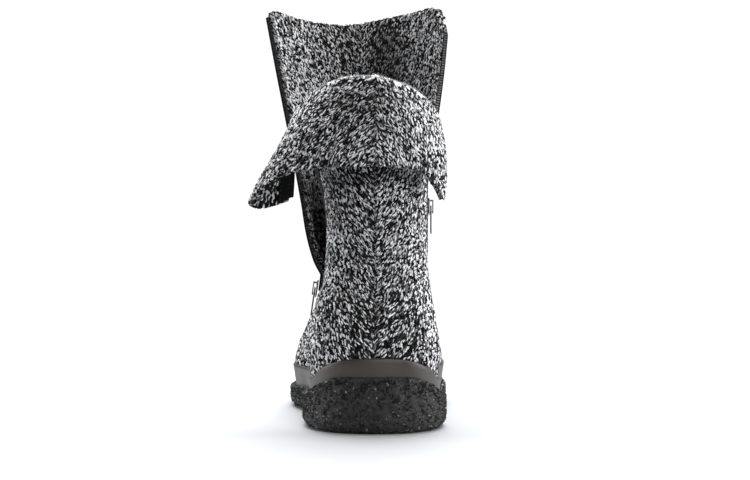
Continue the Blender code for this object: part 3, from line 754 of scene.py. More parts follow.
def build_skin():
    """One hollow knit shell with a real wall, open at the collar, the zips and underneath."""
    turns = np.arange(COLUMNS) / COLUMNS
    zip_column = round(ZIP_TURN * COLUMNS)
    points = []
    for share in np.linspace(0.0, 1.0, RAND_ROWS + 1)[:-1]:
        points.append(wall_points(turns, band_height(share), 0.0))
    for rise in np.linspace(0.0, 1.0, FOOT_ROWS + 1):
        points.append(dressed(foot_point, turns, np.full(COLUMNS, rise))[0])
    rows = len(points)
    points = list(np.concatenate(points))
    faces = grid_faces(rows, COLUMNS)
    rim = (rows - 1) * COLUMNS

    def add_half(start, surface, rises, turned):
        count = len(start)
        shares = np.arange(count) / (count - 1)
        lower = start
        for rise in rises:
            first = len(points)
            points.extend(dressed(surface, shares, np.full(count, rise))[0])
            upper = list(range(first, first + count))
            for column in range(count - 1):
                face = (lower[column], upper[column], upper[column + 1], lower[column + 1])
                faces.append(face[::-1] if turned else face)
            lower = upper

    front_start = [rim + column for column in range(zip_column, COLUMNS - zip_column + 1)]
    rear_start = [rim + (zip_column - column) % COLUMNS for column in range(2 * zip_column + 1)]
    rear_rises = (rises_above(0.0, PANEL_ROWS), rises_above(1.0, FOLD_ROWS), rises_above(2.0, FLAP_ROWS))
    add_half(front_start, front_point, rises_above(0.0, FRONT_ROWS), False)
    add_half(rear_start, rear_point, np.concatenate(rear_rises), True)
    skin = mesh_object("upper_knit", points, faces, KNIT_BASE)
    shell = skin.modifiers.new("wall", "SOLIDIFY")
    shell.thickness = WALL
    shell.offset = -1.0
    shell.use_even_offset = False
    shell.use_quality_normals = True
    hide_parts("upper")


build_skin()

# Yarn stitches. Tones of the marl, and how often each shows.
TONES = ((0.004, 0.39), (0.040, 0.16), (0.20, 0.13), (0.58, 0.14), (0.88, 0.19))
STITCH_LENGTH = 0.0025
STITCH_WIDTH = 0.00078
STITCH_HEIGHT = 0.00065
STITCH_SINK = 0.00020
STITCH_SIZES = (0.75, 1.30)
STITCH_WIDTHS = (0.8, 1.25)
STITCH_HEIGHTS = (0.6, 1.45)
SHOULDER = 0.24
TONE_SPREAD = (0.8, 1.2)
TONE_ENDS = (0.004, 0.92)
SEAM_SHADE = 0.45
TAPE_MARGIN = TAPE_WIDTH + 0.0004

# Area of knit for each stitch
NEAR_CELL = 0.00000092
INSIDE_CELL = 0.00000125
CELL = 0.0000016
OUTSIDE_CELL = 0.0000021
OUTSIDE_SCALE = 1.15
HIDDEN_CELL = 0.0000040
HIDDEN_SCALE = 1.3
LINE_STEPS = 240
ROW_JITTER = 0.30
ROW_STAGGER = (0.75, 0.25)
COLUMN_JITTER = 0.9
EDGE_POINTS = 1200

# Lean of the stitches from the cloth's upward run
SEAM_LEAN = math.radians(24.0)
SEAM_LEAN_WIDTH = 0.022
SIDE_LEAN = math.radians(14.0)
FRONT_LEAN = math.radians(24.0)
LEAN_SPREAD = math.radians(16.0)

# Painted highlight on the fold's bright stretch: its middle and half its width, as rises of the rear half
FOLD_PAINTED_HIGHLIGHT = 1.2
FOLD_MIDDLE = 1.45
FOLD_SPAN = 0.30

# The knit inside the shaft is darker low down. Rises of the front half.
DEEP = 0.30
DEEP_TONE = 0.15
DEEP_FADE = (0.22, 0.52)

# Darker and paler patches of the knit: middle (x, y, z), radius and factor. Most are painted shade and
# painted light: shade in the flap's dent and below the flap, light on the flap's two sides.
SHADE_AND_LIGHT_PATCHES = (
    ((-0.010, -0.040, 0.182), 0.014, 0.60),
    ((-0.024, -0.038, 0.158), 0.012, 0.80),
    ((0.010, -0.044, 0.158), 0.012, 1.15),
    ((0.028, -0.030, 0.170), 0.014, 1.20),
    ((-0.058, -0.010, 0.140), 0.014, 1.20),
    ((0.000, -0.036, 0.120), 0.012, 0.85),
    ((-0.020, -0.034, 0.060), 0.012, 1.10),
    ((0.022, -0.030, 0.070), 0.014, 1.10),
)

# The same on the front half's inner face: painted shadow in the deep middle of the front, painted light on
# its outer side.
INNER_SHADE_AND_LIGHT_PATCHES = (
    ((0.008, 0.088, 0.212), 0.021, 0.14),
    ((0.010, 0.090, 0.238), 0.015, 0.38),
    ((-0.045, 0.058, 0.199), 0.014, 1.80),
    ((-0.048, 0.064, 0.224), 0.014, 1.60),
    ((-0.050, 0.068, 0.244), 0.012, 1.40),
)


def marl_tones(points, factor=1.0, patches=SHADE_AND_LIGHT_PATCHES):
    """Tone of each stitch: mostly black and white, a little darker on the seam, with the painted shade and
    light of the patches.
    """
    values = np.array([tone for tone, _ in TONES])
    shares = np.array([share for _, share in TONES])
    picked = random.choice(values, size=len(points), p=shares / shares.sum())
    picked = picked * random.uniform(*TONE_SPREAD, len(points)) * factor
    for middle, radius, strength in patches:
        near = np.exp(-(np.linalg.norm(points - np.array(middle), axis=-1) / radius) ** 2)
        picked = picked * mix(1.0, strength, near)
    picked = picked * (1.0 - SEAM_SHADE * seam_of(points))
    return np.clip(picked, *TONE_ENDS)


def run_lengths(line):
    """Length along a line of points, at each of them."""
    return np.concatenate(((0.0,), np.cumsum(np.linalg.norm(np.diff(line, axis=0), axis=1))))


def joined(pieces):
    return (np.concatenate(values) for values in zip(*pieces))


def flattened(vectors, normals):
    """Unit directions of vectors, square to the normals."""
    return unit(vectors - normals * np.sum(vectors * normals, axis=1, keepdims=True))


def repeated(pattern, size, copies):
    """Faces of one small piece of size points, for all its copies."""
    return (np.array(pattern)[None] + size * np.arange(copies)[:, None, None]).reshape(-1, 3)


def scatter(surface, columns, low, high, cell, first=0.0, last=1.0):
    """Places (share, rise) in staggered columns with about one stitch for each cell of area."""
    fine = np.linspace(low, high, LINE_STEPS)
    half = 0.5 * (last - first) / columns

    def line_at(share):
        return surface(np.full(LINE_STEPS, share), fine)

    shares, rises = [], []
    for column in range(columns):
        share = first + (column + 0.5) * (last - first) / columns
        width = np.linalg.norm(line_at(share + half) - line_at(share - half), axis=1)
        step = np.linalg.norm(np.diff(line_at(share), axis=0), axis=1)
        count = np.concatenate(((0.0,), np.cumsum(step * 0.5 * (width[1:] + width[:-1]) / cell)))
        number = int(count[-1])
        if number < 1:
            continue
        jitter = random.uniform(-ROW_JITTER, ROW_JITTER, number)
        wanted = np.arange(number) + ROW_STAGGER[column % 2] + jitter
        rises.append(np.interp(np.clip(wanted, 0.0, count[-1]), count, fine))
        shares.append(share + random.uniform(-COLUMN_JITTER, COLUMN_JITTER, number) * half)
    return np.concatenate(shares), np.concatenate(rises)


def skin_places(surface, share, rise, margin):
    """Places on the knit that lie farther than margin from its free edges."""
    points, _, up, out = dressed(surface, share, rise)
    if margin > 0.0:
        outer_edge = np.linalg.norm(points - surface(np.zeros_like(share), rise), axis=1)
        inner_edge = np.linalg.norm(points - surface(np.ones_like(share), rise), axis=1)
        keep = np.minimum(outer_edge, inner_edge) > margin
        share, rise, points, up, out = (values[keep] for values in (share, rise, points, up, out))
    return share, rise, points, up, out


def toned_mesh(name, vertices, faces, tones, finish):
    """Mesh of many small pieces, with each point's tone stored for the material."""
    piece = mesh_object(name, vertices, faces, finish)
    colours = np.stack((tones, tones, tones * 1.02, np.ones_like(tones)), axis=1)
    store = piece.data.attributes.new("tone", "FLOAT_COLOR", "POINT")
    store.data.foreach_set("color", colours.astype(np.float32).ravel())
    return piece


def spindles(points, along, out, length, width, height, sink):
    """Half-buried spindles of eight points each, lying along the surface."""
    side = unit(np.cross(out, along)) * 0.5 * width
    low = points - out * sink
    corners = [low - along * 0.5 * length]
    for shoulder in (-SHOULDER, SHOULDER):
        run = along * shoulder * length
        corners += [low + run - side, points + run + out * height, low + run + side]
    corners.append(low + along * 0.5 * length)
    pattern = ((0, 2, 1), (0, 3, 2), (1, 2, 5), (1, 5, 4), (2, 3, 6), (2, 6, 5), (4, 5, 7), (5, 6, 7))
    return np.stack(corners, axis=1).reshape(-1, 3), repeated(pattern, 8, len(points))


def stitch_mesh(name, points, along, out, scale=1.0, height_scale=1.0, factor=1.0, patches=SHADE_AND_LIGHT_PATCHES):
    """Yarn stitches, each of its own size and tone."""
    count = len(points)
    size = random.uniform(*STITCH_SIZES, (count, 1)) * scale
    length = STITCH_LENGTH * size
    width = STITCH_WIDTH * size * random.uniform(*STITCH_WIDTHS, (count, 1))
    height = STITCH_HEIGHT * height_scale * scale * random.uniform(*STITCH_HEIGHTS, (count, 1))
    vertices, faces = spindles(points, along, out, length, width, height, STITCH_SINK)
    tones = np.repeat(marl_tones(points, factor, patches), 8)
    toned_mesh(name, vertices, faces, tones, YARN)


def stitch_lean(surface, share, points):
    """Lean of each stitch: they meet in chevrons at the back seam."""
    across = points[:, 0]
    lean = SEAM_LEAN * np.exp(-(across / SEAM_LEAN_WIDTH) ** 2) + SIDE_LEAN
    lean = lean * -np.sign(across + 1e-9)
    if surface is front_point:
        lean = FRONT_LEAN * np.sign(share - 0.5)
    return lean + random.normal(0.0, LEAN_SPREAD, len(share))


def leaning(up, out, lean):
    square = unit(np.cross(out, up))
    return unit(up * np.cos(lean)[:, None] + square * np.sin(lean)[:, None])


def knit_patch(name, surface, columns, low, high, inner, cell=CELL, scale=1.0, margin=0.0, first=0.0,
               last=1.0, fold_painted_highlight=0.0):
    """Stitches on one face of one stretch of the upper."""
    places = scatter(surface, columns, low, high, cell, first, last)
    share, rise, points, up, out = skin_places(surface, *places, margin)
    along = leaning(up, out, stitch_lean(surface, share, points))
    # Painted highlight along the fold.
    factor = 1.0 + fold_painted_highlight * np.exp(-((rise - FOLD_MIDDLE) / FOLD_SPAN) ** 2)
    patches = SHADE_AND_LIGHT_PATCHES
    if inner:
        points = points - out * WALL
        out = -out
    if inner and surface is front_point:
        factor = mix(DEEP_TONE, 1.0, smooth(*DEEP_FADE, rise))
        patches = INNER_SHADE_AND_LIGHT_PATCHES
    stitch_mesh(name, points, along, out, scale, 1.0, factor, patches)


# Stitches over the cut edges: depths of their rows as shares of the wall, pitch, jitter and lean
RIM_ROWS = (0.14, 0.50, 0.86)
RIM_PITCH = 0.00105
RIM_STAGGER = 0.33
RIM_JITTER = 0.35
RIM_LEAN = math.radians(35.0)
RIM_SCALE = 0.95
EDGE_SHARE = {"outer": 0.0, "inner": 1.0}


def rim_patch(name, surface, side, low, high, factor=1.0, height_scale=1.0):
    """Stitches over the cut edge of the knit. side is outer, inner or top."""
    fine = np.linspace(low, high, EDGE_POINTS // 2)

    def places(place):
        if side == "top":
            return place, np.full(len(place), 3.0 if surface is rear_point else 1.0)
        return np.full(len(place), EDGE_SHARE[side]), place

    lengths = run_lengths(surface(*places(fine)))
    number = int(lengths[-1] / RIM_PITCH)
    pieces = []
    for row, depth in enumerate(RIM_ROWS):
        jitter = random.uniform(-RIM_JITTER, RIM_JITTER, number)
        wanted = (np.arange(number) + 0.5 + RIM_STAGGER * row + jitter) * RIM_PITCH
        share, rise = places(np.interp(np.clip(wanted, 0.0, lengths[-1]), lengths, fine))
        points, around, up, out = dressed(surface, share, rise)
        face = up if side == "top" else around * (1.0 if side == "inner" else -1.0)
        run = around if side == "top" else up
        along = leaning(run, face, random.normal(0.0, RIM_LEAN, number))
        pieces.append((points - out * (WALL * depth), along, face))
    stitch_mesh(name, *joined(pieces), RIM_SCALE, height_scale, factor)


# Free edges of the two halves. The strips' ends are shares of the way along each half.
FRONT_STRIP = (0.022, 0.985)
REAR_STRIP = (0.035, 2.97)
EDGE_STEP = 0.004
FIRST_REACH = 0.10
REACH_TRIES = 4


def edge_lines(surface, side, rises):
    """Free edge of a half: its points, and the directions into the knit, up and out."""
    share = np.full(len(rises), EDGE_SHARE[side])
    step = EDGE_STEP if side == "outer" else -EDGE_STEP
    edge, _, up, out = frames_of(surface, share, rises)
    return edge, unit(surface(share + step, rises) - edge), up, out


def near_edge(surface, side, rises, distance):
    """Points on the knit at a distance in from its free edge, with the directions up and out."""
    share = np.full(len(rises), EDGE_SHARE[side])
    edge = surface(share, rises)
    reach = FIRST_REACH if side == "outer" else -FIRST_REACH
    for _ in range(REACH_TRIES):
        span = np.linalg.norm(surface(share + reach, rises) - edge, axis=1)
        reach = reach * distance / np.maximum(span, 1e-6)
    points, _, up, out = dressed(surface, share + reach, rises)
    return points, up, out


def even_places(surface, side, pitch, offset=0.0):
    """Rises at an even pitch along a free edge."""
    fine = np.linspace(*(FRONT_STRIP if surface is front_point else REAR_STRIP), EDGE_POINTS)
    lengths = run_lengths(surface(np.full(EDGE_POINTS, EDGE_SHARE[side]), fine))
    return np.interp(np.arange((0.5 + offset) * pitch, lengths[-1], pitch), lengths, fine)


def swept_ring(name, ring, finish):
    """Closed solid swept along rows, from the lines of its ring of corners."""
    count = len(ring)
    rows = len(ring[0])
    points = np.stack(ring, axis=1).reshape(-1, 3)
    faces = grid_faces(rows, count)
    faces.append(tuple(range(count)))
    faces.append(tuple((rows - 1) * count + index for index in range(count))[::-1])
    return closed_piece(name, points, faces, finish)


# Knit binding along the front half's free edges, inside the zips
BINDING_OUT = 0.0012
BINDING_DEPTH = 0.0023
BINDING_RADIUS = 0.0010
BINDING_SIDES = 8
BINDING_ROWS = 120
BINDING_ANGLES = (-25.0, 12.0, 48.0, 84.0, 120.0)
BINDING_ENDS = (0.16, 0.99)
BINDING_PITCH = 0.00075
BINDING_LEAN = (0.4, 0.3)
# The binding's stitches are darker: painted shade on the rolled edge.
BINDING_LOOK = (0.85, 0.7, 0.75)      # scale, height scale and tone of its stitches


def roll_points(side, places, angle):
    """Points on the binding, with the directions up and out of it."""
    edge, into, up, out = edge_lines(front_point, side, places)
    normal = -into * math.cos(angle) - out * math.sin(angle)
    return edge - into * BINDING_OUT - out * BINDING_DEPTH + normal * BINDING_RADIUS, up, unit(normal)


def build_binding(side):
    """Knit roll beside the teeth, with stitches on the sides that show."""
    rises = np.linspace(*BINDING_ENDS, BINDING_ROWS)
    ring = []
    for index in range(BINDING_SIDES):
        ring.append(roll_points(side, rises, 2.0 * math.pi * index / BINDING_SIDES)[0])
    swept_ring(f"binding_{side}", ring, KNIT_BASE)
    places = even_places(front_point, side, BINDING_PITCH)
    places = places[places > rises[0]]
    pieces = []
    for degrees in BINDING_ANGLES:
        points, up, normal = roll_points(side, places, math.radians(degrees))
        pieces.append((points, leaning(up, normal, random.normal(*BINDING_LEAN, len(places))), normal))
    stitch_mesh(f"knit_binding_{side}", *joined(pieces), *BINDING_LOOK)


# Fibres standing off the knit
FIBRE_WIDTH = 0.00007
FIBRE_ROOT = 0.0003
FIBRE_TAPER = 0.3
FIBRE_LENGTHS = (0.4, 1.0)
FIBRE_TONES = (0.3, 1.5)
PALEST_FIBRE = 0.9

# Rise and lean of a fibre's two parts, as shares of its length
ROOT_RISE = 0.38
ROOT_LEAN = 0.32
TIP_RISES = (-0.05, 0.35)
TIP_LEAN = 0.45


def fuzz(name, surface, count, low, high, inner, longest, tone=0.55, margin=0.0):
    """Fine loose fibres: thin ribbons of two quads each, bent once."""
    share = random.uniform(0.0, 1.0, count)
    rise = random.uniform(low, high, count)
    _, _, points, _, out = skin_places(surface, share, rise, margin)
    count = len(points)
    if inner:
        points = points - out * WALL
        out = -out
    lean = flattened(random.normal(0.0, 1.0, (count, 3)), out)
    length = random.uniform(*FIBRE_LENGTHS, (count, 1)) * longest
    root = points + out * FIBRE_ROOT
    middle = root + (out * ROOT_RISE + lean * ROOT_LEAN) * length
    tip = middle + (out * random.uniform(*TIP_RISES, (count, 1)) + lean * TIP_LEAN) * length
    side = unit(np.cross(lean, out)) * 0.5 * FIBRE_WIDTH
    thin = FIBRE_TAPER * side
    corners = (root - side, root + side, middle + side, middle - side, tip + thin, tip - thin)
    vertices = np.stack(corners, axis=1).reshape(-1, 3)
    faces = repeated(((0, 1, 2), (0, 2, 3), (3, 2, 4), (3, 4, 5)), 6, count)
    tones = np.clip(tone * random.uniform(*FIBRE_TONES, count), 0.0, PALEST_FIBRE)
    toned_mesh(name, vertices, faces, np.repeat(tones, 6), YARN)


def build_knit():
    knit_patch("knit_foot_outer_side", foot_point, 240, 0.0, 1.0, False, first=0.0, last=0.5)
    knit_patch("knit_foot_inner_side", foot_point, 240, 0.0, 1.0, False, first=0.5, last=1.0)
    knit_patch("knit_front_outside", front_point, 130, 0.0, 1.0, False, OUTSIDE_CELL, OUTSIDE_SCALE,
               TAPE_MARGIN)
    knit_patch("knit_front_inside", front_point, 140, DEEP, 1.0, True, INSIDE_CELL)
    knit_patch("knit_front_deep_inside", front_point, 60, 0.0, DEEP, True, HIDDEN_CELL, HIDDEN_SCALE)
    knit_patch("knit_rear_outside", rear_point, 110, 0.0, 1.15, False, NEAR_CELL, margin=TAPE_MARGIN)
    knit_patch("knit_rear_inside", rear_point, 60, 0.0, 0.98, True, HIDDEN_CELL, HIDDEN_SCALE)
    knit_patch("knit_flap", rear_point, 150, 0.98, 3.0, True, NEAR_CELL, fold_painted_highlight=FOLD_PAINTED_HIGHLIGHT)
    knit_patch("knit_under_flap", rear_point, 70, 1.15, 3.0, False, HIDDEN_CELL, HIDDEN_SCALE, TAPE_MARGIN)
    # Stitches over the cut edges take darker tones: painted shade on the front half's edges and on the
    # flap's lower edge.
    for side in EDGE_SHARE:
        rim_patch(f"knit_rim_front_{side}", front_point, side, 0.02, 1.0, 0.6, 0.9)
    for side in EDGE_SHARE:
        build_binding(side)
    rim_patch("knit_rim_collar", front_point, "top", 0.0, 1.0, 0.8)
    for side in EDGE_SHARE:
        rim_patch(f"knit_rim_rear_{side}", rear_point, side, 0.03, 3.0, 0.7, 0.6)
    rim_patch("knit_rim_flap", rear_point, "top", 0.0, 1.0, 0.45)
    # The fold's fibres are paler than the rest: a painted highlight on the fold.
    fuzz("fibres_fold", rear_point, 6000, 1.05, 1.75, True, 0.0024, tone=0.9)
    fuzz("fibres_flap", rear_point, 2000, 1.9, 3.0, True, 0.0018)
    fuzz("fibres_rear", rear_point, 1800, 0.0, 1.0, False, 0.0016, margin=TAPE_MARGIN)
    fuzz("fibres_foot", foot_point, 2600, 0.0, 1.0, False, 0.0016)
    fuzz("fibres_front", front_point, 1800, 0.0, 1.0, False, 0.0016, margin=TAPE_MARGIN)
    fuzz("fibres_inside", front_point, 1600, 0.45, 1.0, True, 0.0016)


build_knit()

# Zip tapes and teeth
TAPE_ROWS = 150
TAPE_EDGE = 0.5 * ZIP_GAP - GAP
TAPE_PLACES = (-TAPE_EDGE, 0.0, 0.0020, 0.0040, 0.0060, TAPE_WIDTH)
THREAD_PLACES = (0.0013, 0.0068)
THREAD_PITCH = 0.0023
THREAD_LENGTH = 0.0017
THREAD_WIDTH = 0.00042
THREAD_HEIGHT = 0.00022
THREAD_SINK = 0.0001
TOOTH_PITCH = 0.0016
TOOTH_LENGTH = 0.00095
TOOTH_BEVEL = 0.00018


def build_tape(name, surface, side):
    """Woven tape that lies on the knit."""
    rises = np.linspace(*(FRONT_STRIP if surface is front_point else REAR_STRIP), TAPE_ROWS)
    edge, into, _, out = edge_lines(surface, side, rises)
    lows, highs = [], []
    for place in TAPE_PLACES:
        if place <= 0.0:
            points, normal = edge + into * place, out
        else:
            points, _, normal = near_edge(surface, side, rises, place)
        lows.append(points + normal * TAPE_CLEARANCE)
        highs.append(points + normal * (TAPE_CLEARANCE + TAPE_WALL))
    tape = swept_ring(name, lows + highs[::-1], TAPE)
    tape.data.shade_flat()
    return tape


def build_threads(name, surface, side):
    """Two rows of sewing thread along a tape."""
    places = even_places(surface, side, THREAD_PITCH)
    rows = []
    for distance in THREAD_PLACES:
        points, up, out = near_edge(surface, side, places, distance)
        rows.append((points + out * (TAPE_CLEARANCE + TAPE_WALL), up, out))
    vertices, faces = spindles(*joined(rows), THREAD_LENGTH, THREAD_WIDTH, THREAD_HEIGHT, THREAD_SINK)
    mesh_object(name, vertices, faces, THREAD)


def tooth_template():
    """One bevelled tooth: X into the knit, Y along the zip, Z out."""
    work = bmesh.new()
    made = bmesh.ops.create_cube(work, size=1.0)["verts"]
    bmesh.ops.scale(work, vec=(TEETH_WIDTH, TOOTH_LENGTH, TEETH_WALL), verts=made)
    bmesh.ops.bevel(work, geom=list(work.edges), offset=TOOTH_BEVEL, segments=1, affect="EDGES")
    bmesh.ops.triangulate(work, faces=list(work.faces))
    work.verts.index_update()
    points = np.array([vertex.co[:] for vertex in work.verts])
    faces = np.array([[vertex.index for vertex in face.verts] for face in work.faces])
    work.free()
    return points, faces


def build_teeth(name, surface, side):
    """Separate teeth in the slit, half a pitch apart on the two halves."""
    offset = 0.5 if surface is rear_point else 0.0
    rises = even_places(surface, side, TOOTH_PITCH, offset)
    edge, into, up, out = edge_lines(surface, side, rises)
    into = flattened(into, up)
    middle = edge - into * (TAPE_EDGE - 0.5 * TEETH_WIDTH) + out * (TAPE_CLEARANCE - GAP - 0.5 * TEETH_WALL)
    points, faces = tooth_template()
    axes = np.stack((into, up, out), axis=1)
    spread = middle[:, None, :] + points @ axes
    faces = repeated(faces, len(points), len(middle))
    teeth = mesh_object(name, spread.reshape(-1, 3), faces, METAL)
    teeth.data.shade_flat()
    return teeth


def build_zips():
    for side in EDGE_SHARE:
        for half, surface in (("front", front_point), ("rear", rear_point)):
            tape = build_tape(f"tape_{side}_{half}", surface, side)
            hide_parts(f"zip_tape_{side}_{half}")
            build_threads(f"thread_{side}_{half}", surface, side)
            teeth = build_teeth(f"teeth_{side}_{half}", surface, side)
            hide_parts(f"zip_teeth_{side}_{half}")


build_zips()


# Crepe sole and rand
SOLE_COLUMNS = 480
TREAD_SHARES = (0.05, 0.25, 0.45, 0.63, 0.78, 0.90, 1.0)
CORNER_STEPS = 7
WALL_RINGS = 14
CREPE_EDGE_POWER = 6
SEAT_SHARES = (0.60, 0.10)
CREPE_GRAIN = 0.00045
GRAIN_WAVES = 22
GRAIN_SIZES = (0.0016, 0.0050)
GRAIN_SOFTNESS = 3.2
RAND_COLUMNS = 320
RAND_RINGS = 12
RAND_FACE = 0.94

# Rounded top edge of the rand: share of its height, and depth as a share of its wall
RAND_EDGE = ((0.975, 0.12), (0.993, 0.35), (1.0, 0.6))


def ring_stack(name, rings, finish):
    """Closed solid from a stack of closed rings, with strips of quads across both ends."""
    count = len(rings[0])
    half = count // 2
    faces = grid_faces(len(rings), count)
    for start in (0, (len(rings) - 1) * count):
        faces.append((start, start + 1, start + count - 1))
        for index in range(start + 1, start + half - 1):
            across = 2 * start + count - index
            faces.append((index, index + 1, across - 1, across))
        faces.append((start + half - 1, start + half, start + half + 1))
    return closed_piece(name, np.concatenate(rings), faces, finish)


def towards_spine(points, share):
    count = len(points)
    partner = points[(count - np.arange(count)) % count]
    middle = 0.5 * (points + partner)
    return mix(middle, points, share)


def set_heights(points, height_of):
    placed = points.copy()
    placed[:, 2] = height_of(along_of(points))
    return placed


def build_sole():
    turns = np.arange(SOLE_COLUMNS) / SOLE_COLUMNS
    outline = sole_point(turns)
    alongs = plan(FOOT_PLAN, turns)[0]
    low = ground(alongs)
    high = crepe_top(alongs)
    tread = inset(outline, SOLE_CORNER)
    rings = [set_heights(towards_spine(tread, share), ground) for share in TREAD_SHARES]
    rough_low = len(rings) - 1
    for step in range(1, CORNER_STEPS):
        angle = 0.5 * math.pi * step / CORNER_STEPS
        ring = inset(outline, SOLE_CORNER * (1.0 - math.sin(angle)))
        ring[:, 2] = low + SOLE_CORNER * (1.0 - math.cos(angle))
        rings.append(ring)
    for share in np.linspace(0.0, 1.0, WALL_RINGS):
        ring = inset(outline, CREPE_EDGE * share ** CREPE_EDGE_POWER)
        ring[:, 2] = mix(low + SOLE_CORNER, high, share)
        rings.append(ring)
    rough_high = len(rings)
    reach = RAND_CLEARANCE + RAND_WALL + GAP
    rings.append(wall_points(turns, crepe_top, reach + 0.5 * CREPE_EDGE))
    rings.append(wall_points(turns, footbed, reach) - np.array((0.0, 0.0, GAP)))
    inner = wall_points(turns, footbed, 0.0)
    for share in SEAT_SHARES:
        rings.append(set_heights(towards_spine(inner, share), footbed))
    for index in range(rough_low, rough_high):
        lumps = np.tanh(waves(rings[index], 3, GRAIN_WAVES, GRAIN_SIZES) / GRAIN_SOFTNESS)
        rings[index] = inset(rings[index], -CREPE_GRAIN * lumps)
    sole = ring_stack("crepe_sole", rings, CREPE)
    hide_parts("outsole")


def build_rand():
    turns = np.arange(RAND_COLUMNS) / RAND_COLUMNS
    inside = RAND_CLEARANCE
    outside = RAND_CLEARANCE + RAND_WALL
    profile = [(0.0, inside)]
    profile += [(share, outside) for share in np.linspace(0.0, RAND_FACE, RAND_RINGS)]
    profile += [(share, outside - depth * RAND_WALL) for share, depth in RAND_EDGE]
    profile += [(1.0, inside), (0.5, inside), (0.0, inside)]
    rings = [wall_points(turns, band_height(share), offset) for share, offset in profile]
    faces = grid_faces(len(rings), RAND_COLUMNS)
    points = np.concatenate(rings[:-1])
    faces = (np.array(faces) % len(points)).tolist()
    band = mesh_object("rand_band", points, faces, RAND)
    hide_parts("rand")


# Crumbs standing out of the crepe wall, and the share of pale ones
TURN_STEP = 0.0005
OUTLINE_POINTS = 2001
CRUMB_CELL = 0.0000020
CRUMB_LENGTH = 0.0015
CRUMB_WIDTH = 0.0013
CRUMB_HEIGHT = 0.00075
CRUMB_SINK = 0.0006
CRUMB_SIZES = (0.6, 1.3)
CRUMB_HEIGHTS = (0.3, 1.3)
PALE_CRUMBS = 0.06
PALE_TONES = (0.08, 0.30)
DARK_TONES = (0.005, 0.030)
CRUMB_WALL = 0.024                # length of the crepe wall's section
CRUMB_BAND = (0.12, 0.97)         # stretch of it that has crumbs
CORNER_SHARE = 0.3                # share of it that is the rounded foot


def crepe_wall(turns, share):
    """Points and outward normals on the crepe wall: its rounded foot, then its upright side."""
    outline = sole_point(turns)
    tangent = sole_point(turns + TURN_STEP) - sole_point(turns - TURN_STEP)
    outward = unit(points_of(-tangent[:, 1], tangent[:, 0], 0.0))
    along = plan(FOOT_PLAN, turns)[0]
    low = ground(along)
    angle = 0.5 * math.pi * np.clip(share / CORNER_SHARE, 0.0, 1.0)
    upright = np.clip((share - CORNER_SHARE) / (1.0 - CORNER_SHARE), 0.0, 1.0)
    points = outline - outward * (SOLE_CORNER * (1.0 - np.sin(angle)))[:, None]
    rounded = low + SOLE_CORNER * (1.0 - np.cos(angle))
    straight = mix(low + SOLE_CORNER, crepe_top(along), upright)
    points[:, 2] = np.where(share < CORNER_SHARE, rounded, straight)
    normals = outward * np.sin(angle)[:, None]
    normals[:, 2] -= np.cos(angle)
    return points, unit(normals)


def build_crumbs():
    turns = np.linspace(0.0, 1.0, OUTLINE_POINTS)
    lengths = run_lengths(sole_point(turns))
    number = int(lengths[-1] * CRUMB_WALL / CRUMB_CELL)
    turn = np.interp(random.uniform(0.0, lengths[-1], number), lengths, turns)
    points, normals = crepe_wall(turn, random.uniform(*CRUMB_BAND, number))
    along = flattened(unit(random.normal(0.0, 1.0, (number, 3))), normals)
    size = random.uniform(*CRUMB_SIZES, (number, 1))
    height = CRUMB_HEIGHT * random.uniform(*CRUMB_HEIGHTS, (number, 1))
    length, width = CRUMB_LENGTH * size, CRUMB_WIDTH * size
    vertices, faces = spindles(points, along, normals, length, width, height, CRUMB_SINK)
    pale = random.uniform(0.0, 1.0, number) < PALE_CRUMBS
    tones = np.where(pale, random.uniform(*PALE_TONES, number), random.uniform(*DARK_TONES, number))
    pieces = toned_mesh("crepe_crumbs", vertices, faces, np.repeat(tones, 8), CRUMB)
    pieces.data.shade_flat()


build_sole()
build_crumbs()
build_rand()

# Frame nodes that keep their shape
HARD_EDGE = 0.00012


def finish_kept_nodes():
    for name in ("zip_slider_outer", "zip_slider_inner", "zip_pull_outer", "zip_pull_inner", "insole"):
        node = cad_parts[name]
        node.data.materials.clear()
        node.data.materials.append(FELT if name == "insole" else METAL)
        if name != "insole":
            edges = node.modifiers.new("soft_edges", "BEVEL")
            edges.width = HARD_EDGE
            edges.segments = 2
            edges.limit_method = "ANGLE"


finish_kept_nodes()


# Studio
FLOOR_RADIUS = 0.44
FLOOR_SIDES = 96
SURROUND_LIGHT = 0.16
SURROUND_WHITE = 1.05
FLOOR_COLOUR = (0.45, 0.46, 0.475, 1.0)


def build_floor():
    """Round pale floor."""
    angles = 2.0 * math.pi * np.arange(FLOOR_SIDES) / FLOOR_SIDES
    points = points_of(FLOOR_RADIUS * np.cos(angles), FLOOR_RADIUS * np.sin(angles), 0.0).tolist()
    floor_mesh = bpy.data.meshes.new("studio_floor")
    floor_mesh.from_pydata(points, [], [tuple(range(FLOOR_SIDES))])
    floor = bpy.data.objects.new("studio_floor", floor_mesh)
    bpy.context.scene.collection.objects.link(floor)
    pale = Finish("studio_floor", 0.5)
    pale.shader.inputs["Base Color"].default_value = FLOOR_COLOUR
    floor_mesh.materials.append(pale.material)


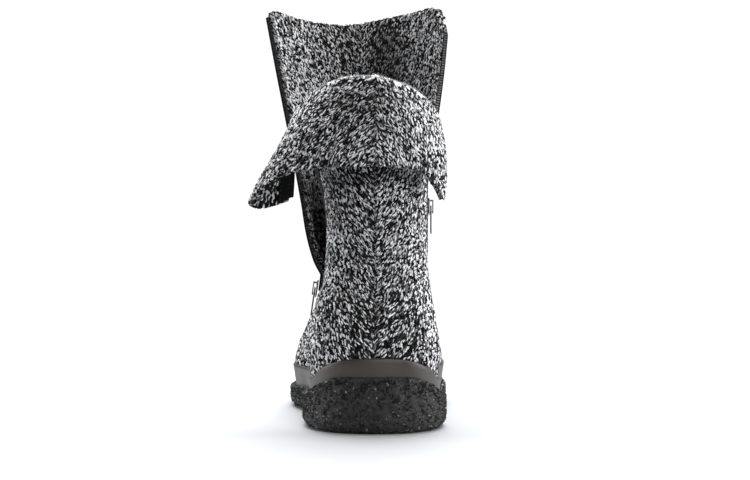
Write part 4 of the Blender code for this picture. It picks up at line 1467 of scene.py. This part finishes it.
def build_surround():
    """White to look at, and a soft fill light of SURROUND_LIGHT for the boot."""
    world = bpy.data.worlds.new("studio")
    world.use_nodes = True
    nodes = world.node_tree.nodes
    links = world.node_tree.links
    fill = nodes["Background"]
    fill.inputs["Color"].default_value = (0.97, 0.98, 1.0, 1.0)
    fill.inputs["Strength"].default_value = SURROUND_LIGHT
    white = nodes.new("ShaderNodeBackground")
    white.inputs["Color"].default_value = (1.0, 1.0, 1.0, 1.0)
    white.inputs["Strength"].default_value = SURROUND_WHITE
    ray = nodes.new("ShaderNodeLightPath")
    choose = nodes.new("ShaderNodeMixShader")
    links.new(ray.outputs["Is Camera Ray"], choose.inputs["Fac"])
    links.new(fill.outputs["Background"], choose.inputs[1])
    links.new(white.outputs["Background"], choose.inputs[2])
    links.new(choose.outputs["Shader"], nodes["World Output"].inputs["Surface"])
    bpy.context.scene.world = world


def area_light(name, place, target, size, power):
    data = bpy.data.lights.new(name, "AREA")
    data.shape = "RECTANGLE"
    data.size = size[0]
    data.size_y = size[1]
    data.energy = power
    lamp = bpy.data.objects.new(name, data)
    lamp.location = place
    lamp.rotation_euler = (Vector(target) - Vector(place)).to_track_quat("-Z", "Y").to_euler()
    bpy.context.scene.collection.objects.link(lamp)


# The camera looks along +Y, level with the ankle, as the photograph does.
CAMERA_DISTANCE = 0.807
CAMERA_HEIGHT = 0.0995
SENSOR = 36.0
FRAME_WIDTH = 750.0
FOCAL_PIXELS = 1445.0
HORIZON_PIXELS = 17.0
HORIZON_SHIFT = HORIZON_PIXELS / FRAME_WIDTH


def build_camera():
    data = bpy.data.cameras.new("camera")
    data.sensor_width = SENSOR
    data.lens = SENSOR * FOCAL_PIXELS / FRAME_WIDTH
    data.shift_y = HORIZON_SHIFT
    camera = bpy.data.objects.new("camera", data)
    camera.location = (0.0, SOLE_BACK - CAMERA_DISTANCE, CAMERA_HEIGHT)
    camera.rotation_euler = (math.radians(90.0), 0.0, 0.0)
    bpy.context.scene.collection.objects.link(camera)
    bpy.context.scene.camera = camera


# Soft boxes: name, place, target, size and watts
MIDDLE = (0.0, 0.03, 0.12)
SOFT_BOXES = (
    ("top_soft_box", (0.0, 0.65, 1.3), (0.0, 0.10, 0.0), (1.5, 1.5), 66.0),
    ("left_soft_box", (-1.0, 0.25, 0.26), MIDDLE, (0.5, 0.9), 8.0),
    ("right_soft_box", (1.0, 0.05, 0.26), MIDDLE, (0.5, 0.9), 11.0),
    ("front_soft_box", (0.40, -1.3, 0.85), MIDDLE, (0.6, 0.6), 12.0),
)

build_floor()
build_surround()
for soft_box in SOFT_BOXES:
    area_light(*soft_box)
build_camera()
bpy.context.scene.view_settings.view_transform = "Standard"
